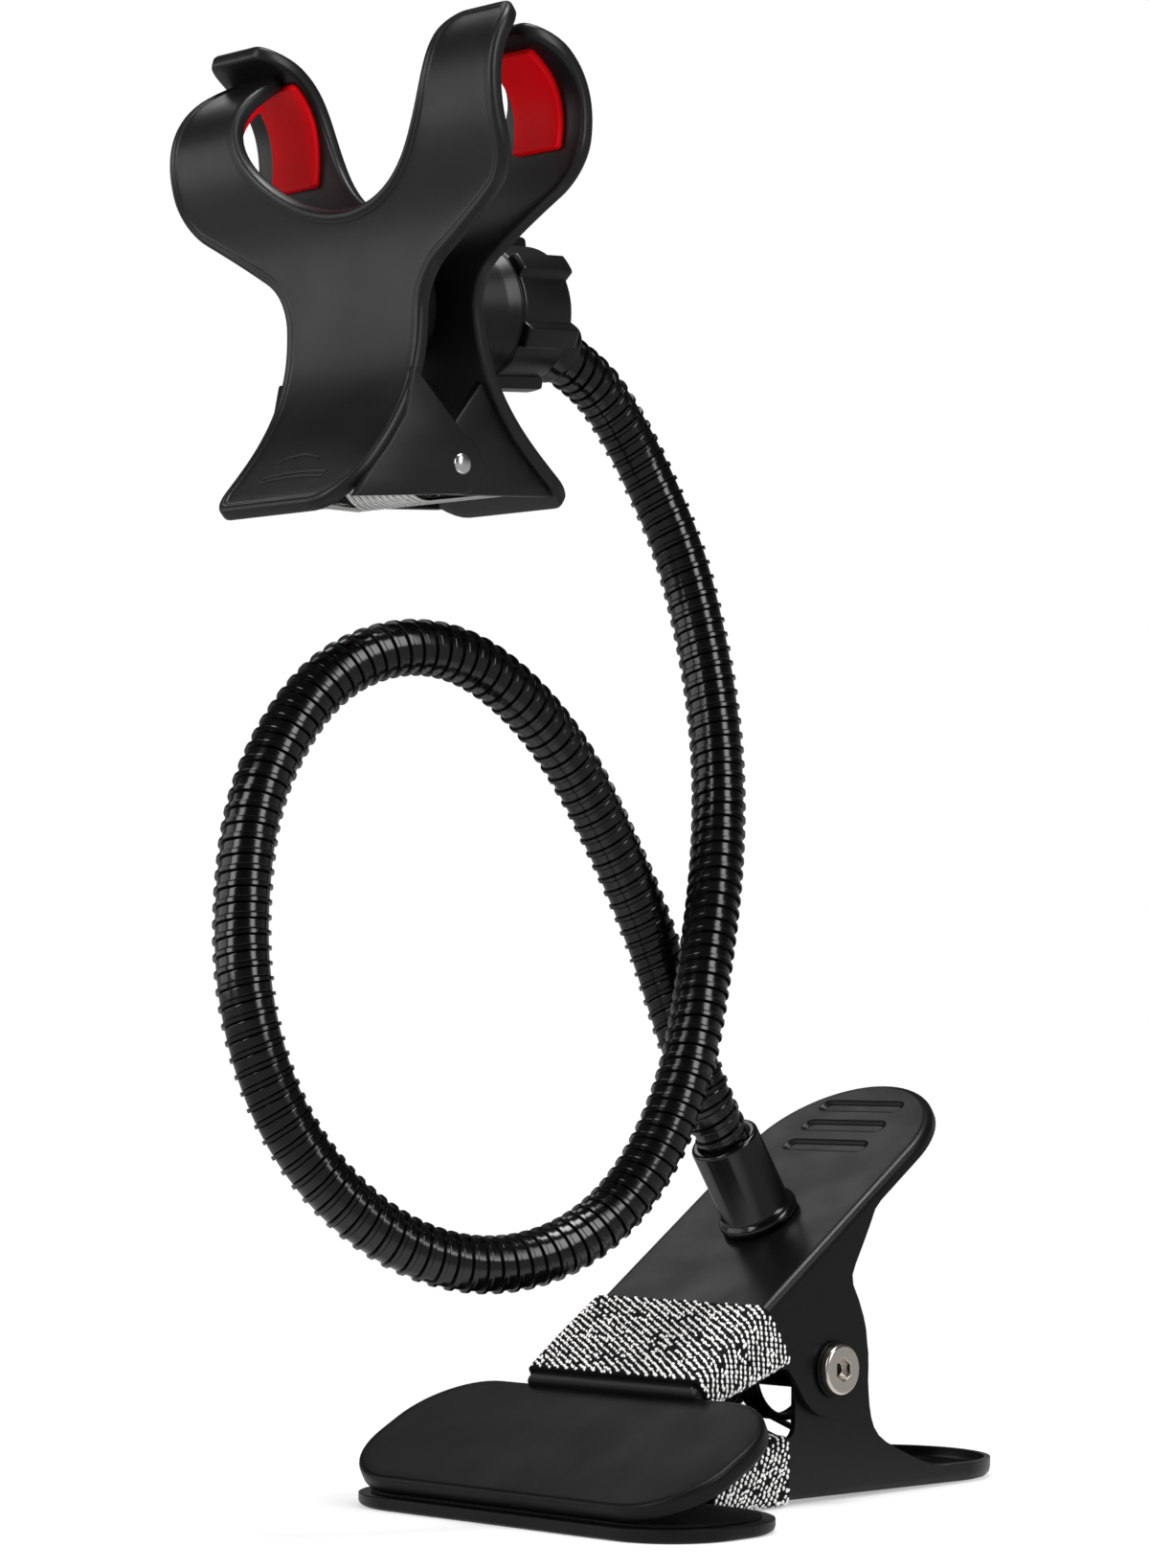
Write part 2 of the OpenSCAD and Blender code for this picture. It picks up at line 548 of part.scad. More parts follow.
module lock_nut() color("#101011") on_ball_axis() difference() {
    union() {
        translate([0, 0, nut_back]) rotate_extrude() polygon([[0, 0], [nut_d / 2 - 0.6, 0], [nut_d / 2, 0.6],
            [nut_d / 2, nut_l - 2.2], [nut_d / 2 - 2, nut_l], [0, nut_l]]);
        for (k = [0:nut_lobes - 1]) rotate(360 * k / nut_lobes + 18) intersection() {
            translate([0, -3.4, nut_back + 0.4]) cube([nut_d, 6.8, nut_l + 0.2]);
            translate([0, 0, nut_back]) rotate_extrude() polygon([[8, 0], [nut_d / 2 + 1.6, 0.8],
                [nut_d / 2 + 2, 2], [nut_d / 2 + 2, nut_l - 1.6], [nut_d / 2 + 0.6, nut_l + 0.6],
                [nut_d / 2 - 3, nut_l + 0.6]]);
        }
    }
    translate([0, 0, nut_back - 1]) cylinder(r = boss_r + 0.1, h = ball_y + 3 - nut_back);
    translate([0, 0, ball_y]) sphere(r = ball_d / 2 + seat_gap, $fn = 64);
    lip_y = 3.6;
    lip_r = sqrt(pow(ball_d / 2 + seat_gap, 2) - lip_y * lip_y);
    translate([0, 0, ball_y + lip_y - eps]) cylinder(r1 = lip_r, r2 = lip_r + 2.6, h = 2.4);
}

// Phone clip

// right half of the front view, drawn inwards by g, with its tip at tip_z
function arm_outline(g, tip_z) = let (
    e = [waist_w + arm_round, waist_top],
    foot = e + arm_round * [cos(90 + arm_slope), sin(90 + arm_slope)],
    s_x = arm_w - arm_round * (1 - sin(arm_slope)),
    s_z = foot[1] + tan(arm_slope) * (s_x - foot[0]),
    shoulder = [arm_w - arm_round, s_z + arm_round * cos(arm_slope)])
    concat(
        [[0, lip_z + g]],
        arc([waist_w - 3.5, lip_z + 3], 3 - g, -90, 0, 3),
        arc(e, arm_round + g, 180, 90 + arm_slope, 5),
        arc(shoulder, arm_round - g, arm_slope - 90, 0, 5),
        arc([arm_w - tip_round, tip_z - tip_round], tip_round - g, 0, 90, 4),
        arc([notch_r + 6, tip_z - 6], 6 - g, 90, 180, 4),
        arc([0, notch_z], notch_r + g, 0, -90, 10));

// the outside of an arm seen from the side: [distance from the clip's middle, height]
root_controls = [[37, -11.5], [31, -6.5], [25, -1], [19.4, 4.4], [14.5, 10.4], [10.8, 17],
    [8.7, 24], [8.2, 32], [7.6, 40], [8.4, 47], [10.8, 54]];
high_controls = [[13, 61], [13.4, 68.5], [12, 75], [8, 80.8], [2, 84.6], [-5, 87.4], [-12, 90]];
low_controls = [[12.6, 60], [12.8, 66], [10.8, 71.6], [6.6, 76], [0.6, 79.4], [-6, 82], [-13, 84]];
high_line = spline_points(concat(root_controls, high_controls), 36);
low_line = spline_points(concat(root_controls, low_controls), 36);
function side_offset(line, g) = [for (i = [0:len(line) - 1])
    let (d = line[min(i + 1, len(line) - 1)] - line[max(i - 1, 0)]) line[i] - g * unit([d[1], -d[0]])];
// the wall between two depths below the outside, as far as lap past the middle
module side_band(line, g0, g1, lap) across(2 * arm_w + 2) intersection() {
    polygon(concat(side_offset(line, g0), reversed(side_offset(line, g1))));
    translate([lap, -50]) square([100, 200]);
}
// one arm with half of the plate's waist, and the bead round its edge
module arm(line, tip_z, lap) {
    intersection() {
        side_band(line, 0, plate_t, lap);
        rotate([90, 0, 0]) linear_extrude(100, center = true) polygon(arm_outline(0, tip_z));
    }
    intersection() {
        side_band(line, -bead_h, plate_t, lap);
        rotate([90, 0, 0]) linear_extrude(100, center = true) difference() {
            polygon(arm_outline(0, tip_z));
            translate([-eps, 0]) polygon(arm_outline(bead_w, tip_z));
        }
    }
}

module clip_ear(x, pin_side) {
    translate([x, 0, 0]) across(clip_ear_t) difference() {
        union() {
            polygon([[11, 18.5], [-pin_side, 5.2], [-clip_ear_r + 0.4, 0], [0, -clip_ear_r],
                [27.5, -clip_ear_r - 0.4], [24.4, -2], [18.8, 3.4], [13.8, 9.4]]);
            circle(r = clip_ear_r);
        }
    }
}
// one half of the clip on the +Y side, its high arm at -X and its ears at ear_at
module clip_half(ear_at, bore) difference() {
    union() {
        mirror([1, 0, 0]) arm(high_line, high_z, high_lap);
        arm(low_line, low_z, low_lap);
        for (s = [-1, 1]) clip_ear(s * (ear_at - clip_ear_t / 2), 1);
    }
    axle(bore, -arm_w, arm_w);
}

module rear_plate() color("#19191a") on_clip() difference() {
    clip_half(ear_x - clip_ear_t - gap_c, pin_d + 2 * seat_c);
    translate([0, 0, ball_z]) rotate([-90, 0, 0]) cylinder(r = 7, h = 20);
}
module front_plate() color("#19191a") on_clip() rotate(180) {
    clip_half(ear_x, pin_d + 2 * run_c);
    // stop rib behind the waist
    across(2 * waist_w - 14) polygon([[8, 18.6], [1.6, 18.2], [3.4, 15.2], [9.6, 14]]);
    // thumb ribs over the lip
    for (k = [0:2]) translate([0, 23 + 2.4 * k, 1.2 - 2.2 * k]) rotate([0, 90, 0])
        cylinder(d = 1.6, h = 20 - 3 * k, center = true);
}
// the pin has a domed head at each end
module clip_pin() color("#d8d8d6") on_clip() rotate([0, 90, 0]) rotate_extrude() polygon(concat(
    [[0, -ear_x - pin_dome]], arc([0, pin_ball - pin_dome - ear_x], pin_ball, -70, -35, 3),
    [[pin_head, -ear_x - seat_c], [pin_d / 2, -ear_x - seat_c],
     [pin_d / 2, ear_x + seat_c], [pin_head, ear_x + seat_c]],
    arc([0, ear_x + pin_dome - pin_ball], pin_ball, 35, 70, 3), [[0, ear_x + pin_dome]]));
module clip_spring() color("#d0d0d0") on_clip()
    swept(wire_rings(coil_path(-spring_half, spring_half / 5, 10, pin_d / 2 + 1.6, -90,
        [-spring_half, -spring_leg, -1.1], [spring_half, spring_leg, -1.1]), spring_wire),
        [1, 0, 0.02], wire_sides);
// a soft pad inside an arm of the +Y half, centred z above the pin
module grip_pad(line, x, z) intersection() {
    side_band(line, plate_t + seat_c, plate_t + red_t, 0);
    translate([x, 0, z]) rotate([90, 0, 0]) linear_extrude(40, center = true)
        square([red_w, red_h], center = true);
}
red_x = arm_w - 12.5;
red_w = 13;
red_h = 21;
red_high = 69.5;
red_low = 65.5;
module rear_left_grip() color("#b0101c") on_clip() grip_pad(high_line, -red_x, red_high);
module rear_right_grip() color("#b0101c") on_clip() grip_pad(low_line, red_x, red_low);
module front_left_grip() color("#b0101c") on_clip() rotate(180) grip_pad(low_line, red_x, red_low);
module front_right_grip() color("#b0101c") on_clip() rotate(180) grip_pad(high_line, -red_x, red_high);

lower_lever();
lower_pad();
lower_grip();
lower_pad_rivets();
lower_strap();
pivot_bolt();
pivot_nut();
pivot_sleeve();
pivot_washers();
base_spring();
upper_lever();
upper_pad();
upper_grip();
upper_pad_rivets();
upper_strap();
collar();
collar_screw();
hose_root();
hose_loop();
hose_rise();
hose_tip();
ball_stud();
lock_nut();
ball_socket();
socket_retainer();
rear_plate();
clip_pin();
clip_spring();
rear_left_grip();
rear_right_grip();
front_plate();
front_left_grip();
front_right_grip();
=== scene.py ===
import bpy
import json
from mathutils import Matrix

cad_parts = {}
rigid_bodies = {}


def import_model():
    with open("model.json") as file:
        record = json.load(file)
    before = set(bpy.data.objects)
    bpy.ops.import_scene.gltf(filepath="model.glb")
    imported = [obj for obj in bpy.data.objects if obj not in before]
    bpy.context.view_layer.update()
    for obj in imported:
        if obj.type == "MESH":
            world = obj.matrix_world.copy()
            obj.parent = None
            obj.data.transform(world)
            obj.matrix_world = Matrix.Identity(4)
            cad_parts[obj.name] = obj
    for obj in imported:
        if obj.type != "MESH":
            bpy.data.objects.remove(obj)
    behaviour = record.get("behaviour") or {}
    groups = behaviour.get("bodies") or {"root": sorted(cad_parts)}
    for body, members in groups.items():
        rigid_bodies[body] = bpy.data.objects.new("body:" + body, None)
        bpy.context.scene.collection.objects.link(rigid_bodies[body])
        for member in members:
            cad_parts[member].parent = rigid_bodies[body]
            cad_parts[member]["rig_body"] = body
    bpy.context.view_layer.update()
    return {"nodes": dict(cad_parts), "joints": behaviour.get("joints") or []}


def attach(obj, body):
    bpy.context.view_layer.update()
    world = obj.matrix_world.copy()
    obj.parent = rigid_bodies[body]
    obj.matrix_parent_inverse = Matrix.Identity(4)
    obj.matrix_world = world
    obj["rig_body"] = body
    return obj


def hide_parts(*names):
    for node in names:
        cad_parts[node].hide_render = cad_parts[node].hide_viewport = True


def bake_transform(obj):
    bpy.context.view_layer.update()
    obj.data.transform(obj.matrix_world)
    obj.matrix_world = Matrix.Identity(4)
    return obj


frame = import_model()

import json
from math import acos, ceil, cos, pi, radians, sin, sqrt

import bmesh
import bpy
from mathutils import Matrix, Vector
from mathutils.geometry import delaunay_2d_cdt

# A flexible phone holder: a spring clamp, a ribbed gooseneck and a sprung clip.
# Sizes are in millimetres, in the frame of the piece they belong to, until piece() places them.
MM = 0.001
# each joint's place
joints = {j["name"]: Vector(j["pos_m"]) / MM for j in frame["joints"]}

# Angles in degrees: the levers and the upper pad with the jaws closed, the clip's lean and its turn about
# the ball, and the stud's drop
LEVER_SLOPE = 34
LOWER_TILT = 0.744
PAD_SLOPE = 27
CLIP_LEAN = 5.5
CLIP_SWIVEL = 1
STUD_DROP = 23.5

# Levers: rises are from the pivot to the outside of a plate, and lengths are from the pivot
LEVER_W = 45
LOWER_W = 41.8
LEVER_RISE = 21.8
LOWER_RISE = 25.18
SHEET_T = 1.2
EAR_R = 11
TAIL_L = 67
NOSE_L = 35
RIM = 3
GROOVES = 3
GROOVE_AT = 44.4
GROOVE_X = -0.8
GROOVE_PITCH = 7
GROOVE_HALF = 9.2
GROOVE_R = 2.0
GROOVE_WALL = 1.1
GROOVE_DEPTH = 0.7

# Pads and their woven sleeves
PAD_L = 94
PAD_D = 37
PAD_R = 16
PAD_T = 2.6
PAD_FRONT = 72
UPPER_PAD_T = 3.9
STRAP_T = 0.8
STRAP_PROUD = 1.1
HEM = 0.25
CELL_W = 0.85
CELL_L = 0.5
WHITE_EVERY = 3

# Gooseneck and collar
HOSE_D = 11
RIB_H = 0.5
RIB_W = 0.9
RIB_PITCH = 3
CORE_R = HOSE_D / 2 - RIB_H
COLLAR_D = 14.2
COLLAR_RING = 15.8
COLLAR_L = 19.6
COLLAR_AT = 19
HOSE_SEAT = 9.6

# Ball joint: Y and Z run from the clip's pin
BALL_D = 16
BALL_Y = 33
BALL_Z = 31.8
SOCKET_Y = 5.8
SOCKET_WALL = 0.15
NECK_D = 6.6
NECK_L = 9.5
SLEEVE_L = 6.5
SLEEVE_FLOOR = 2
NUT_D = 27
NUT_L = 13.5
NUT_LOBES = 6
NUT_BACK = BALL_Y - 8

# Phone clip: X and Z run from the middle of its pin
WAIST_W = 19
ARM_W = 46.5
NOTCH_R = 25.6
NOTCH_Z = 75.5
LOW_NOTCH_X = 28
PLATE_T = 2.6
BEAD_H = 0.45
BEAD_W = 2.1
HIGH_Z = 85.5
LOW_Z = 80.5
LIP_Z = -6.5
ARM_SLOPE = 30.5
WAIST_TOP = 28.4
WAIST_MIX = 6
ARM_ROUND = 12
TIP_ROUND = 5
EAR_X = 19.4
CLIP_EAR_T = 2
CLIP_EAR_R = 5.6
PIN_D = 4
RED_T = 1.3
GAP = 0.3


def turn(angle, axis="X"):
    return Matrix.Rotation(radians(angle), 4, axis)


ON_PIVOT = Matrix.Translation(joints["clamp_hinge"])
ON_UPPER = ON_PIVOT @ turn(LEVER_SLOPE)
ON_LOWER = ON_PIVOT @ turn(-LOWER_TILT)
ON_UPPER_PAD = Matrix.Translation((0, 2 - PAD_D / 2, PAD_T + GAP)) @ turn(PAD_SLOPE)
ON_CLIP = (Matrix.Translation(joints["clip_hinge"]) @ turn(CLIP_LEAN) @ Matrix.Translation((0, 0, BALL_Z))
           @ turn(CLIP_SWIVEL, "Y") @ Matrix.Translation((0, 0, -BALL_Z)))
ON_FRONT = ON_CLIP @ turn(180, "Z")
ON_BALL_AXIS = ON_CLIP @ Matrix.Translation((0, 0, BALL_Z)) @ turn(-90)
ON_STUD = Matrix.Translation(ON_CLIP @ Vector((0, BALL_Y, BALL_Z))) @ turn(-90 - STUD_DROP)
ON_COLLAR = ON_UPPER @ Matrix.Translation((0, COLLAR_AT, LEVER_RISE))


# Objects

def new_object(name, data):
    obj = bpy.data.objects.new(name, data)
    bpy.context.collection.objects.link(obj)
    return obj


def baked(obj):
    """The mesh that an object shows; the object itself goes."""
    mesh = bpy.data.meshes.new_from_object(obj.evaluated_get(bpy.context.evaluated_depsgraph_get()))
    bpy.data.objects.remove(obj)
    return mesh


def opened(mesh):
    """A copy of a mesh to edit."""
    bm = bmesh.new()
    bm.from_mesh(mesh)
    return bm


def closed(name, bm):
    """The mesh of an edited copy; the copy itself goes."""
    mesh = bpy.data.meshes.new(name)
    bm.to_mesh(mesh)
    bm.free()
    return mesh


def poly_curve(name, points):
    """A curve with straight lines from point to point."""
    curve = bpy.data.curves.new(name, "CURVE")
    curve.dimensions = "3D"
    line = curve.splines.new("POLY")
    line.points.add(len(points) - 1)
    for at, p in zip(line.points, points):
        at.co = (*p, 1)
    return curve


# Node trees

def add(tree, kind, inputs=None, **settings):
    """One node: settings are its properties, and inputs its values or the sockets linked to it."""
    made = tree.nodes.new(kind)
    for name, value in settings.items():
        setattr(made, name, value)
    for name, value in (inputs or {}).items():
        if isinstance(value, bpy.types.NodeSocket):
            tree.links.new(value, made.inputs[name])
        else:
            made.inputs[name].default_value = value
    return made


def calculator(tree):
    """A function that adds a math node to the tree and gives its result."""
    def math(operation, a, b=0.0, c=0.0):
        return add(tree, "ShaderNodeMath", {0: a, 1: b, 2: c}, operation=operation).outputs[0]
    return math


def ramp(tree, value, start, stop, low=0.0, high=1.0, shape="LINEAR"):
    """A value that goes from low to high as the given one goes from start to stop."""
    values = {"Value": value, "From Min": start, "From Max": stop, "To Min": low, "To Max": high}
    return add(tree, "ShaderNodeMapRange", values, interpolation_type=shape).outputs[0]


def new_tree(name, numbers, counts):
    """A geometry tree with its own inputs, and the sockets that give them."""
    tree = bpy.data.node_groups.new(name, "GeometryNodeTree")
    face = tree.interface.new_socket
    face("Geometry", in_out="OUTPUT", socket_type="NodeSocketGeometry")
    inputs = [("Geometry", "Geometry")] + [(n, "Float") for n in numbers] + [(n, "Int") for n in counts]
    for label, kind in inputs + [("Material", "Material")]:
        face(label, in_out="INPUT", socket_type="NodeSocket" + kind)
    return tree, add(tree, "NodeGroupInput").outputs


def end_tree(tree, geometry, material):
    real = add(tree, "GeometryNodeRealizeInstances", {"Geometry": geometry}).outputs[0]
    painted = add(tree, "GeometryNodeSetMaterial", {"Geometry": real, "Material": material}).outputs[0]
    add(tree, "NodeGroupOutput", {"Geometry": painted})


def grown(name, data, tree, settings):
    """The mesh that a node tree grows from an object's data, with the tree's inputs set first."""
    obj = new_object(name, data)
    mod = obj.modifiers.new("grow", "NODES")
    mod.node_group = tree
    for item in tree.interface.items_tree:
        if item.in_out == "INPUT" and item.name in settings:
            mod[item.identifier] = settings[item.name]
    return baked(obj)


# Materials

PLASTIC_IOR = 1.5
# size in mm of the patches over which a finish's roughness drifts
PATCH = 14


def colour(code):
    """An sRGB hex code as a linear colour."""
    parts = [int(code[i:i + 2], 16) / 255 for i in (1, 3, 5)]
    return [c / 12.92 if c <= 0.04045 else ((c + 0.055) / 1.055) ** 2.4 for c in parts] + [1]


def finish(name, tint, rough, metal=0.0, grain=0.4, depth=0.02, wander=0.05, gloss=0.5):
    """A plain finish: grain and depth are its texture's size and height in mm, wander is how far the
    roughness drifts from patch to patch, and gloss is the shader's specular level."""
    made = bpy.data.materials.new(name)
    made.use_nodes = True
    tree = made.node_tree
    shader = tree.nodes["Principled BSDF"]
    place = add(tree, "ShaderNodeTexCoord").outputs["Object"]
    patches = add(tree, "ShaderNodeTexNoise", {"Vector": place, "Scale": 1 / (PATCH * MM), "Detail": 3.0})
    fine = add(tree, "ShaderNodeTexNoise", {"Vector": place, "Scale": 1 / (grain * MM), "Detail": 2.0})
    bump = add(tree, "ShaderNodeBump", {"Height": fine.outputs["Fac"], "Distance": depth * MM,
                                        "Strength": 1.0})
    drift = ramp(tree, patches.outputs["Fac"], 0.3, 0.7, rough - wander, rough + wander)
    tree.links.new(drift, shader.inputs["Roughness"])
    tree.links.new(bump.outputs["Normal"], shader.inputs["Normal"])
    shader.inputs["Base Color"].default_value = colour(tint)
    shader.inputs["Metallic"].default_value = metal
    shader.inputs["Specular IOR Level"].default_value = gloss
    if not metal:
        shader.inputs["IOR"].default_value = PLASTIC_IOR
    return made


# black paint on pressed steel: a soft sheen with a faint orange peel
painted_steel = finish("satin black paint", "#0b0b0c", 0.32, grain=0.9, depth=0.006, gloss=0.22)
# moulded pads: an even dark satin
pad_plastic = finish("satin black plastic", "#0a0a0b", 0.38, grain=0.35, depth=0.01, gloss=0.14)
# rubber facings: dull and dark
facing_rubber = finish("matte black rubber", "#0a0a0a", 0.75, grain=0.3, depth=0.03, gloss=0.2)
# the clip's moulding: spark-textured plastic that spreads a broad grey sheen
clip_plastic = finish("fine textured black plastic", "#0e0e10", 0.4, grain=0.28, depth=0.014, gloss=0.35)
# the nut and socket: the same plastic, a little darker and smoother
nut_plastic = finish("smooth black plastic", "#0b0b0c", 0.34, grain=0.4, depth=0.008, gloss=0.3)
# the gooseneck, its collar and its ferrule: gloss black with clear lights along its length
hose_gloss = finish("gloss black plastic", "#040405", 0.17, grain=0.8, depth=0.002, wander=0.02, gloss=0.45)
# the pivot's heads: nickel with a soft lathe-turned look
nickel = finish("nickel plate", "#cfc8bf", 0.24, metal=1.0, grain=0.25, depth=0.004)
# screw and rivets: duller zinc
zinc = finish("zinc plate", "#a9a9ab", 0.36, metal=1.0, grain=0.3, depth=0.006)
# the clamp's spring and the pivot's sleeve: oxide-black steel
black_steel = finish("black oxide steel", "#1d1d1f", 0.28, metal=1.0, grain=0.4, depth=0.004)
# the clip's coil and pin: bright wire
bright_steel = finish("bright steel wire", "#d9d9d7", 0.2, metal=1.0, grain=0.3, depth=0.003)
# the grips: deep red silicone whose sheen stays low, so that the red stays pure
red_rubber = finish("satin red silicone", "#c8030e", 0.5, grain=0.5, depth=0.01, gloss=0.06)


def weave_material():
    """Black and white elastic thread: each stitch carries its own shade, and fine fibres roughen it."""
    made = finish("marled elastic", "#101010", 0.85, grain=0.12, depth=0.05, gloss=0.2)
    tree = made.node_tree
    shade = add(tree, "ShaderNodeAttribute", attribute_name="shade")
    mix = add(tree, "ShaderNodeMix", {"Factor": shade.outputs["Fac"]}, data_type="RGBA")
    # the mix node's two colours are its inputs 6 and 7
    mix.inputs[6].default_value = colour("#070708")
    mix.inputs[7].default_value = colour("#f4f3f1")
    tree.links.new(mix.outputs[2], tree.nodes["Principled BSDF"].inputs["Base Color"])
    return made


woven = weave_material()


# Curves and outlines

def smooth(f):
    """A share held between 0 and 1, and eased at both ends."""
    f = min(1, max(0, f))
    return f * f * (3 - 2 * f)


def arc(centre, r, start, stop, steps):
    """Points on a circle between two angles in degrees."""
    angles = [radians(start + (stop - start) * i / steps) for i in range(steps + 1)]
    return [(centre[0] + r * cos(a), centre[1] + r * sin(a)) for a in angles]


def b_spline(controls, steps):
    """A uniform cubic B-spline, with the same number of steps in each span."""
    points = []
    for i in range(len(controls) - 3):
        a, b, c, d = [Vector(p) for p in controls[i:i + 4]]
        for k in range(steps + (i == len(controls) - 4)):
            f = k / steps
            points.append((a * (1 - f) ** 3 + b * (3 * f ** 3 - 6 * f * f + 4)
                           + c * (-3 * f ** 3 + 3 * f * f + 3 * f + 1) + d * f ** 3) / 6)
    return points


def lengths_along(line):
    """The length of a line up to each of its points."""
    out = [0.0]
    for a, b in zip(line, line[1:]):
        out.append(out[-1] + (b - a).length)
    return out


def rounded(points, r, steps=4):
    """A polyline with each inner corner eased by a curve that starts r before it."""
    out = [Vector(points[0])]
    for a, p, b in zip(points, points[1:], points[2:]):
        a, p, b = Vector(a), Vector(p), Vector(b)
        start = p + (a - p).normalized() * min(r, (a - p).length / 2)
        stop = p + (b - p).normalized() * min(r, (b - p).length / 2)
        for k in range(steps + 1):
            t = k / steps
            out.append(start * (1 - t) ** 2 + p * 2 * t * (1 - t) + stop * t * t)
    return out + [Vector(points[-1])]


def dense(loop, gap):
    """A closed outline with points no further apart than gap."""
    out = []
    for a, b in zip(loop, loop[1:] + loop[:1]):
        a, b = Vector(a), Vector(b)
        count = max(1, ceil((b - a).length / gap))
        if (b - a).length > 1e-4:
            out += [a.lerp(b, k / count) for k in range(count)]
    return out


def dense_open(points, gap=1.1):
    """An open outline with points no further apart than gap."""
    out = [points[0]]
    for a, b in zip(points, points[1:]):
        n = max(1, ceil((Vector(b) - Vector(a)).length / gap))
        out += [Vector(a).lerp(Vector(b), k / n) for k in range(1, n + 1)]
    return out


def rounded_box(left, right, low, high, r, steps):
    """A box with rounded corners, anticlockwise from its right side."""
    points = []
    for x, y, a in ((right - r, high - r, 0), (left + r, high - r, 90),
                    (left + r, low + r, 180), (right - r, low + r, 270)):
        points += arc((x, y), r, a, a + 90, steps)
    return points


def inset(loop, d):
    """A closed anticlockwise outline moved inwards by d."""
    out = []
    for k, p in enumerate(loop):
        before, after = (p - loop[k - 1]).normalized(), (loop[(k + 1) % len(loop)] - p).normalized()
        n = Vector((-(before + after).y, (before + after).x)).normalized()
        lean = max(0.5, n.dot(Vector((-after.y, after.x))))
        out.append(p + n * (d / lean))
    return out


def inside(p, loop):
    hit = False
    for a, b in zip(loop, loop[1:] + loop[:1]):
        if (a.y > p.y) != (b.y > p.y) and p.x < (b.x - a.x) * (p.y - a.y) / (b.y - a.y) + a.x:
            hit = not hit
    return hit


# Meshes

def piece(name, bm, place, body, material, nodes=(), crease=40, edge=0.0):
    """One finished object: placed, shaded, riding on its body. edge rounds its creases, in mm."""
    move(bm, Matrix.Scale(MM, 4) @ place)
    bmesh.ops.recalc_face_normals(bm, faces=bm.faces)
    mesh = closed(name, bm)
    mesh.shade_smooth()
    mesh.materials.append(material)
    obj = new_object(name, mesh)
    if edge:
        bevel = obj.modifiers.new("rounded creases", "BEVEL")
        bevel.width, bevel.segments, bevel.angle_limit = edge * MM, 2, radians(crease)
        obj.modifiers.new("flat faces", "WEIGHTED_NORMAL")
    else:
        mesh.set_sharp_from_angle(angle=radians(crease))
    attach(obj, body)
    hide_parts(*nodes)
    return obj


def move(bm, matrix):
    bmesh.ops.transform(bm, matrix=matrix, verts=bm.verts)


def skin(bm, rows):
    """Joins closed rows of points with faces; a row of one point is a pole."""
    made = [[bm.verts.new(p) for p in row] for row in rows]
    for a, b in zip(made, made[1:]):
        n = max(len(a), len(b))
        for k in range(n):
            corners = [a[k % len(a)], a[(k + 1) % n % len(a)], b[(k + 1) % n % len(b)], b[k % len(b)]]
            bm.faces.new(list(dict.fromkeys(corners)))
    return made


def lathe(profile, sides=72):
    """A profile of (radius, height) turned about Z."""
    bm = bmesh.new()
    skin(bm, [[Vector((r * cos(2 * pi * k / sides), r * sin(2 * pi * k / sides), z))
               for k in range(sides if r > 1e-6 else 1)] for r, z in profile])
    return bm


def fill(bm, ring, loop, lift, grid, detail=()):
    """Fills a row of vertices with a net of points, so that a curved face stays smooth."""
    xs, ys = [p.x for p in loop], [p.y for p in loop]
    inner = list(detail)
    for i in range(1, int((max(xs) - min(xs)) / grid[0]) + 1):
        for j in range(1, int((max(ys) - min(ys)) / grid[1]) + 1):
            p = Vector((min(xs) + i * grid[0], min(ys) + j * grid[1]))
            if inside(p, loop) and min((p - q).length for q in loop + list(detail)) > 0.6 * min(grid):
                inner.append(p)
    net = delaunay_2d_cdt(loop + inner, [], [list(range(len(loop)))], 1, 1e-6)
    verts = [ring[orig[0]] if orig and orig[0] < len(loop) else bm.verts.new(lift(p))
             for p, orig in zip(net[0], net[3])]
    for corners in net[2]:
        if len({verts[c] for c in corners}) == len(corners):
            bm.faces.new([verts[c] for c in corners])


def moulding(bm, outline, section, surface, grid=(3, 3)):
    """A closed shell on a surface: section is its edge as (inwards, upwards), from its top face round to
    its underside, and surface turns (x, y, height) into space."""
    loops = [inset(outline, d) for d, h in section]
    rows = skin(bm, [[surface(p.x, p.y, h) for p in loop] for loop, (d, h) in zip(loops, section)])
    for row, loop, (d, h) in ((rows[0], loops[0], section[0]), (rows[-1], loops[-1], section[-1])):
        fill(bm, row, loop, lambda p: surface(p.x, p.y, h), grid)
    return bm


def join(bm, part):
    mesh = closed("part", part)
    bm.from_mesh(mesh)
    bpy.data.meshes.remove(mesh)


def slab(bm, outline, x0, x1, edge=0.35):
    """A drawing of (y, z) made into a wall across X, with its edges rounded."""
    part = bmesh.new()
    skin(part, [[Vector((x, y, z)) for y, z in outline] for x in (x0, x1)])
    part.verts.ensure_lookup_table()
    n = len(outline)
    part.faces.new(part.verts[:n])
    part.faces.new(part.verts[n:])
    bmesh.ops.recalc_face_normals(part, faces=part.faces)
    sharp = [e for e in part.edges if e.calc_face_angle(0) > radians(40)]
    bmesh.ops.bevel(part, geom=sharp, offset=edge, segments=2, profile=0.5, affect="EDGES")
    join(bm, part)


def wire(points, r, sides=4):
    """A round wire through the points, with closed ends."""
    curve = poly_curve("wire", points)
    curve.bevel_depth, curve.bevel_resolution, curve.use_fill_caps = r, sides, True
    bm = opened(baked(new_object("wire", curve)))
    bmesh.ops.remove_doubles(bm, verts=bm.verts, dist=1e-4)
    return bm


def coil(x0, pitch, turns, r, start, steps=28):
    """A helix along X that starts at the given angle."""
    return [Vector((x0 + pitch * k / steps, r * cos(radians(start + 360 * k / steps)),
                    r * sin(radians(start + 360 * k / steps)))) for k in range(int(turns * steps) + 1)]


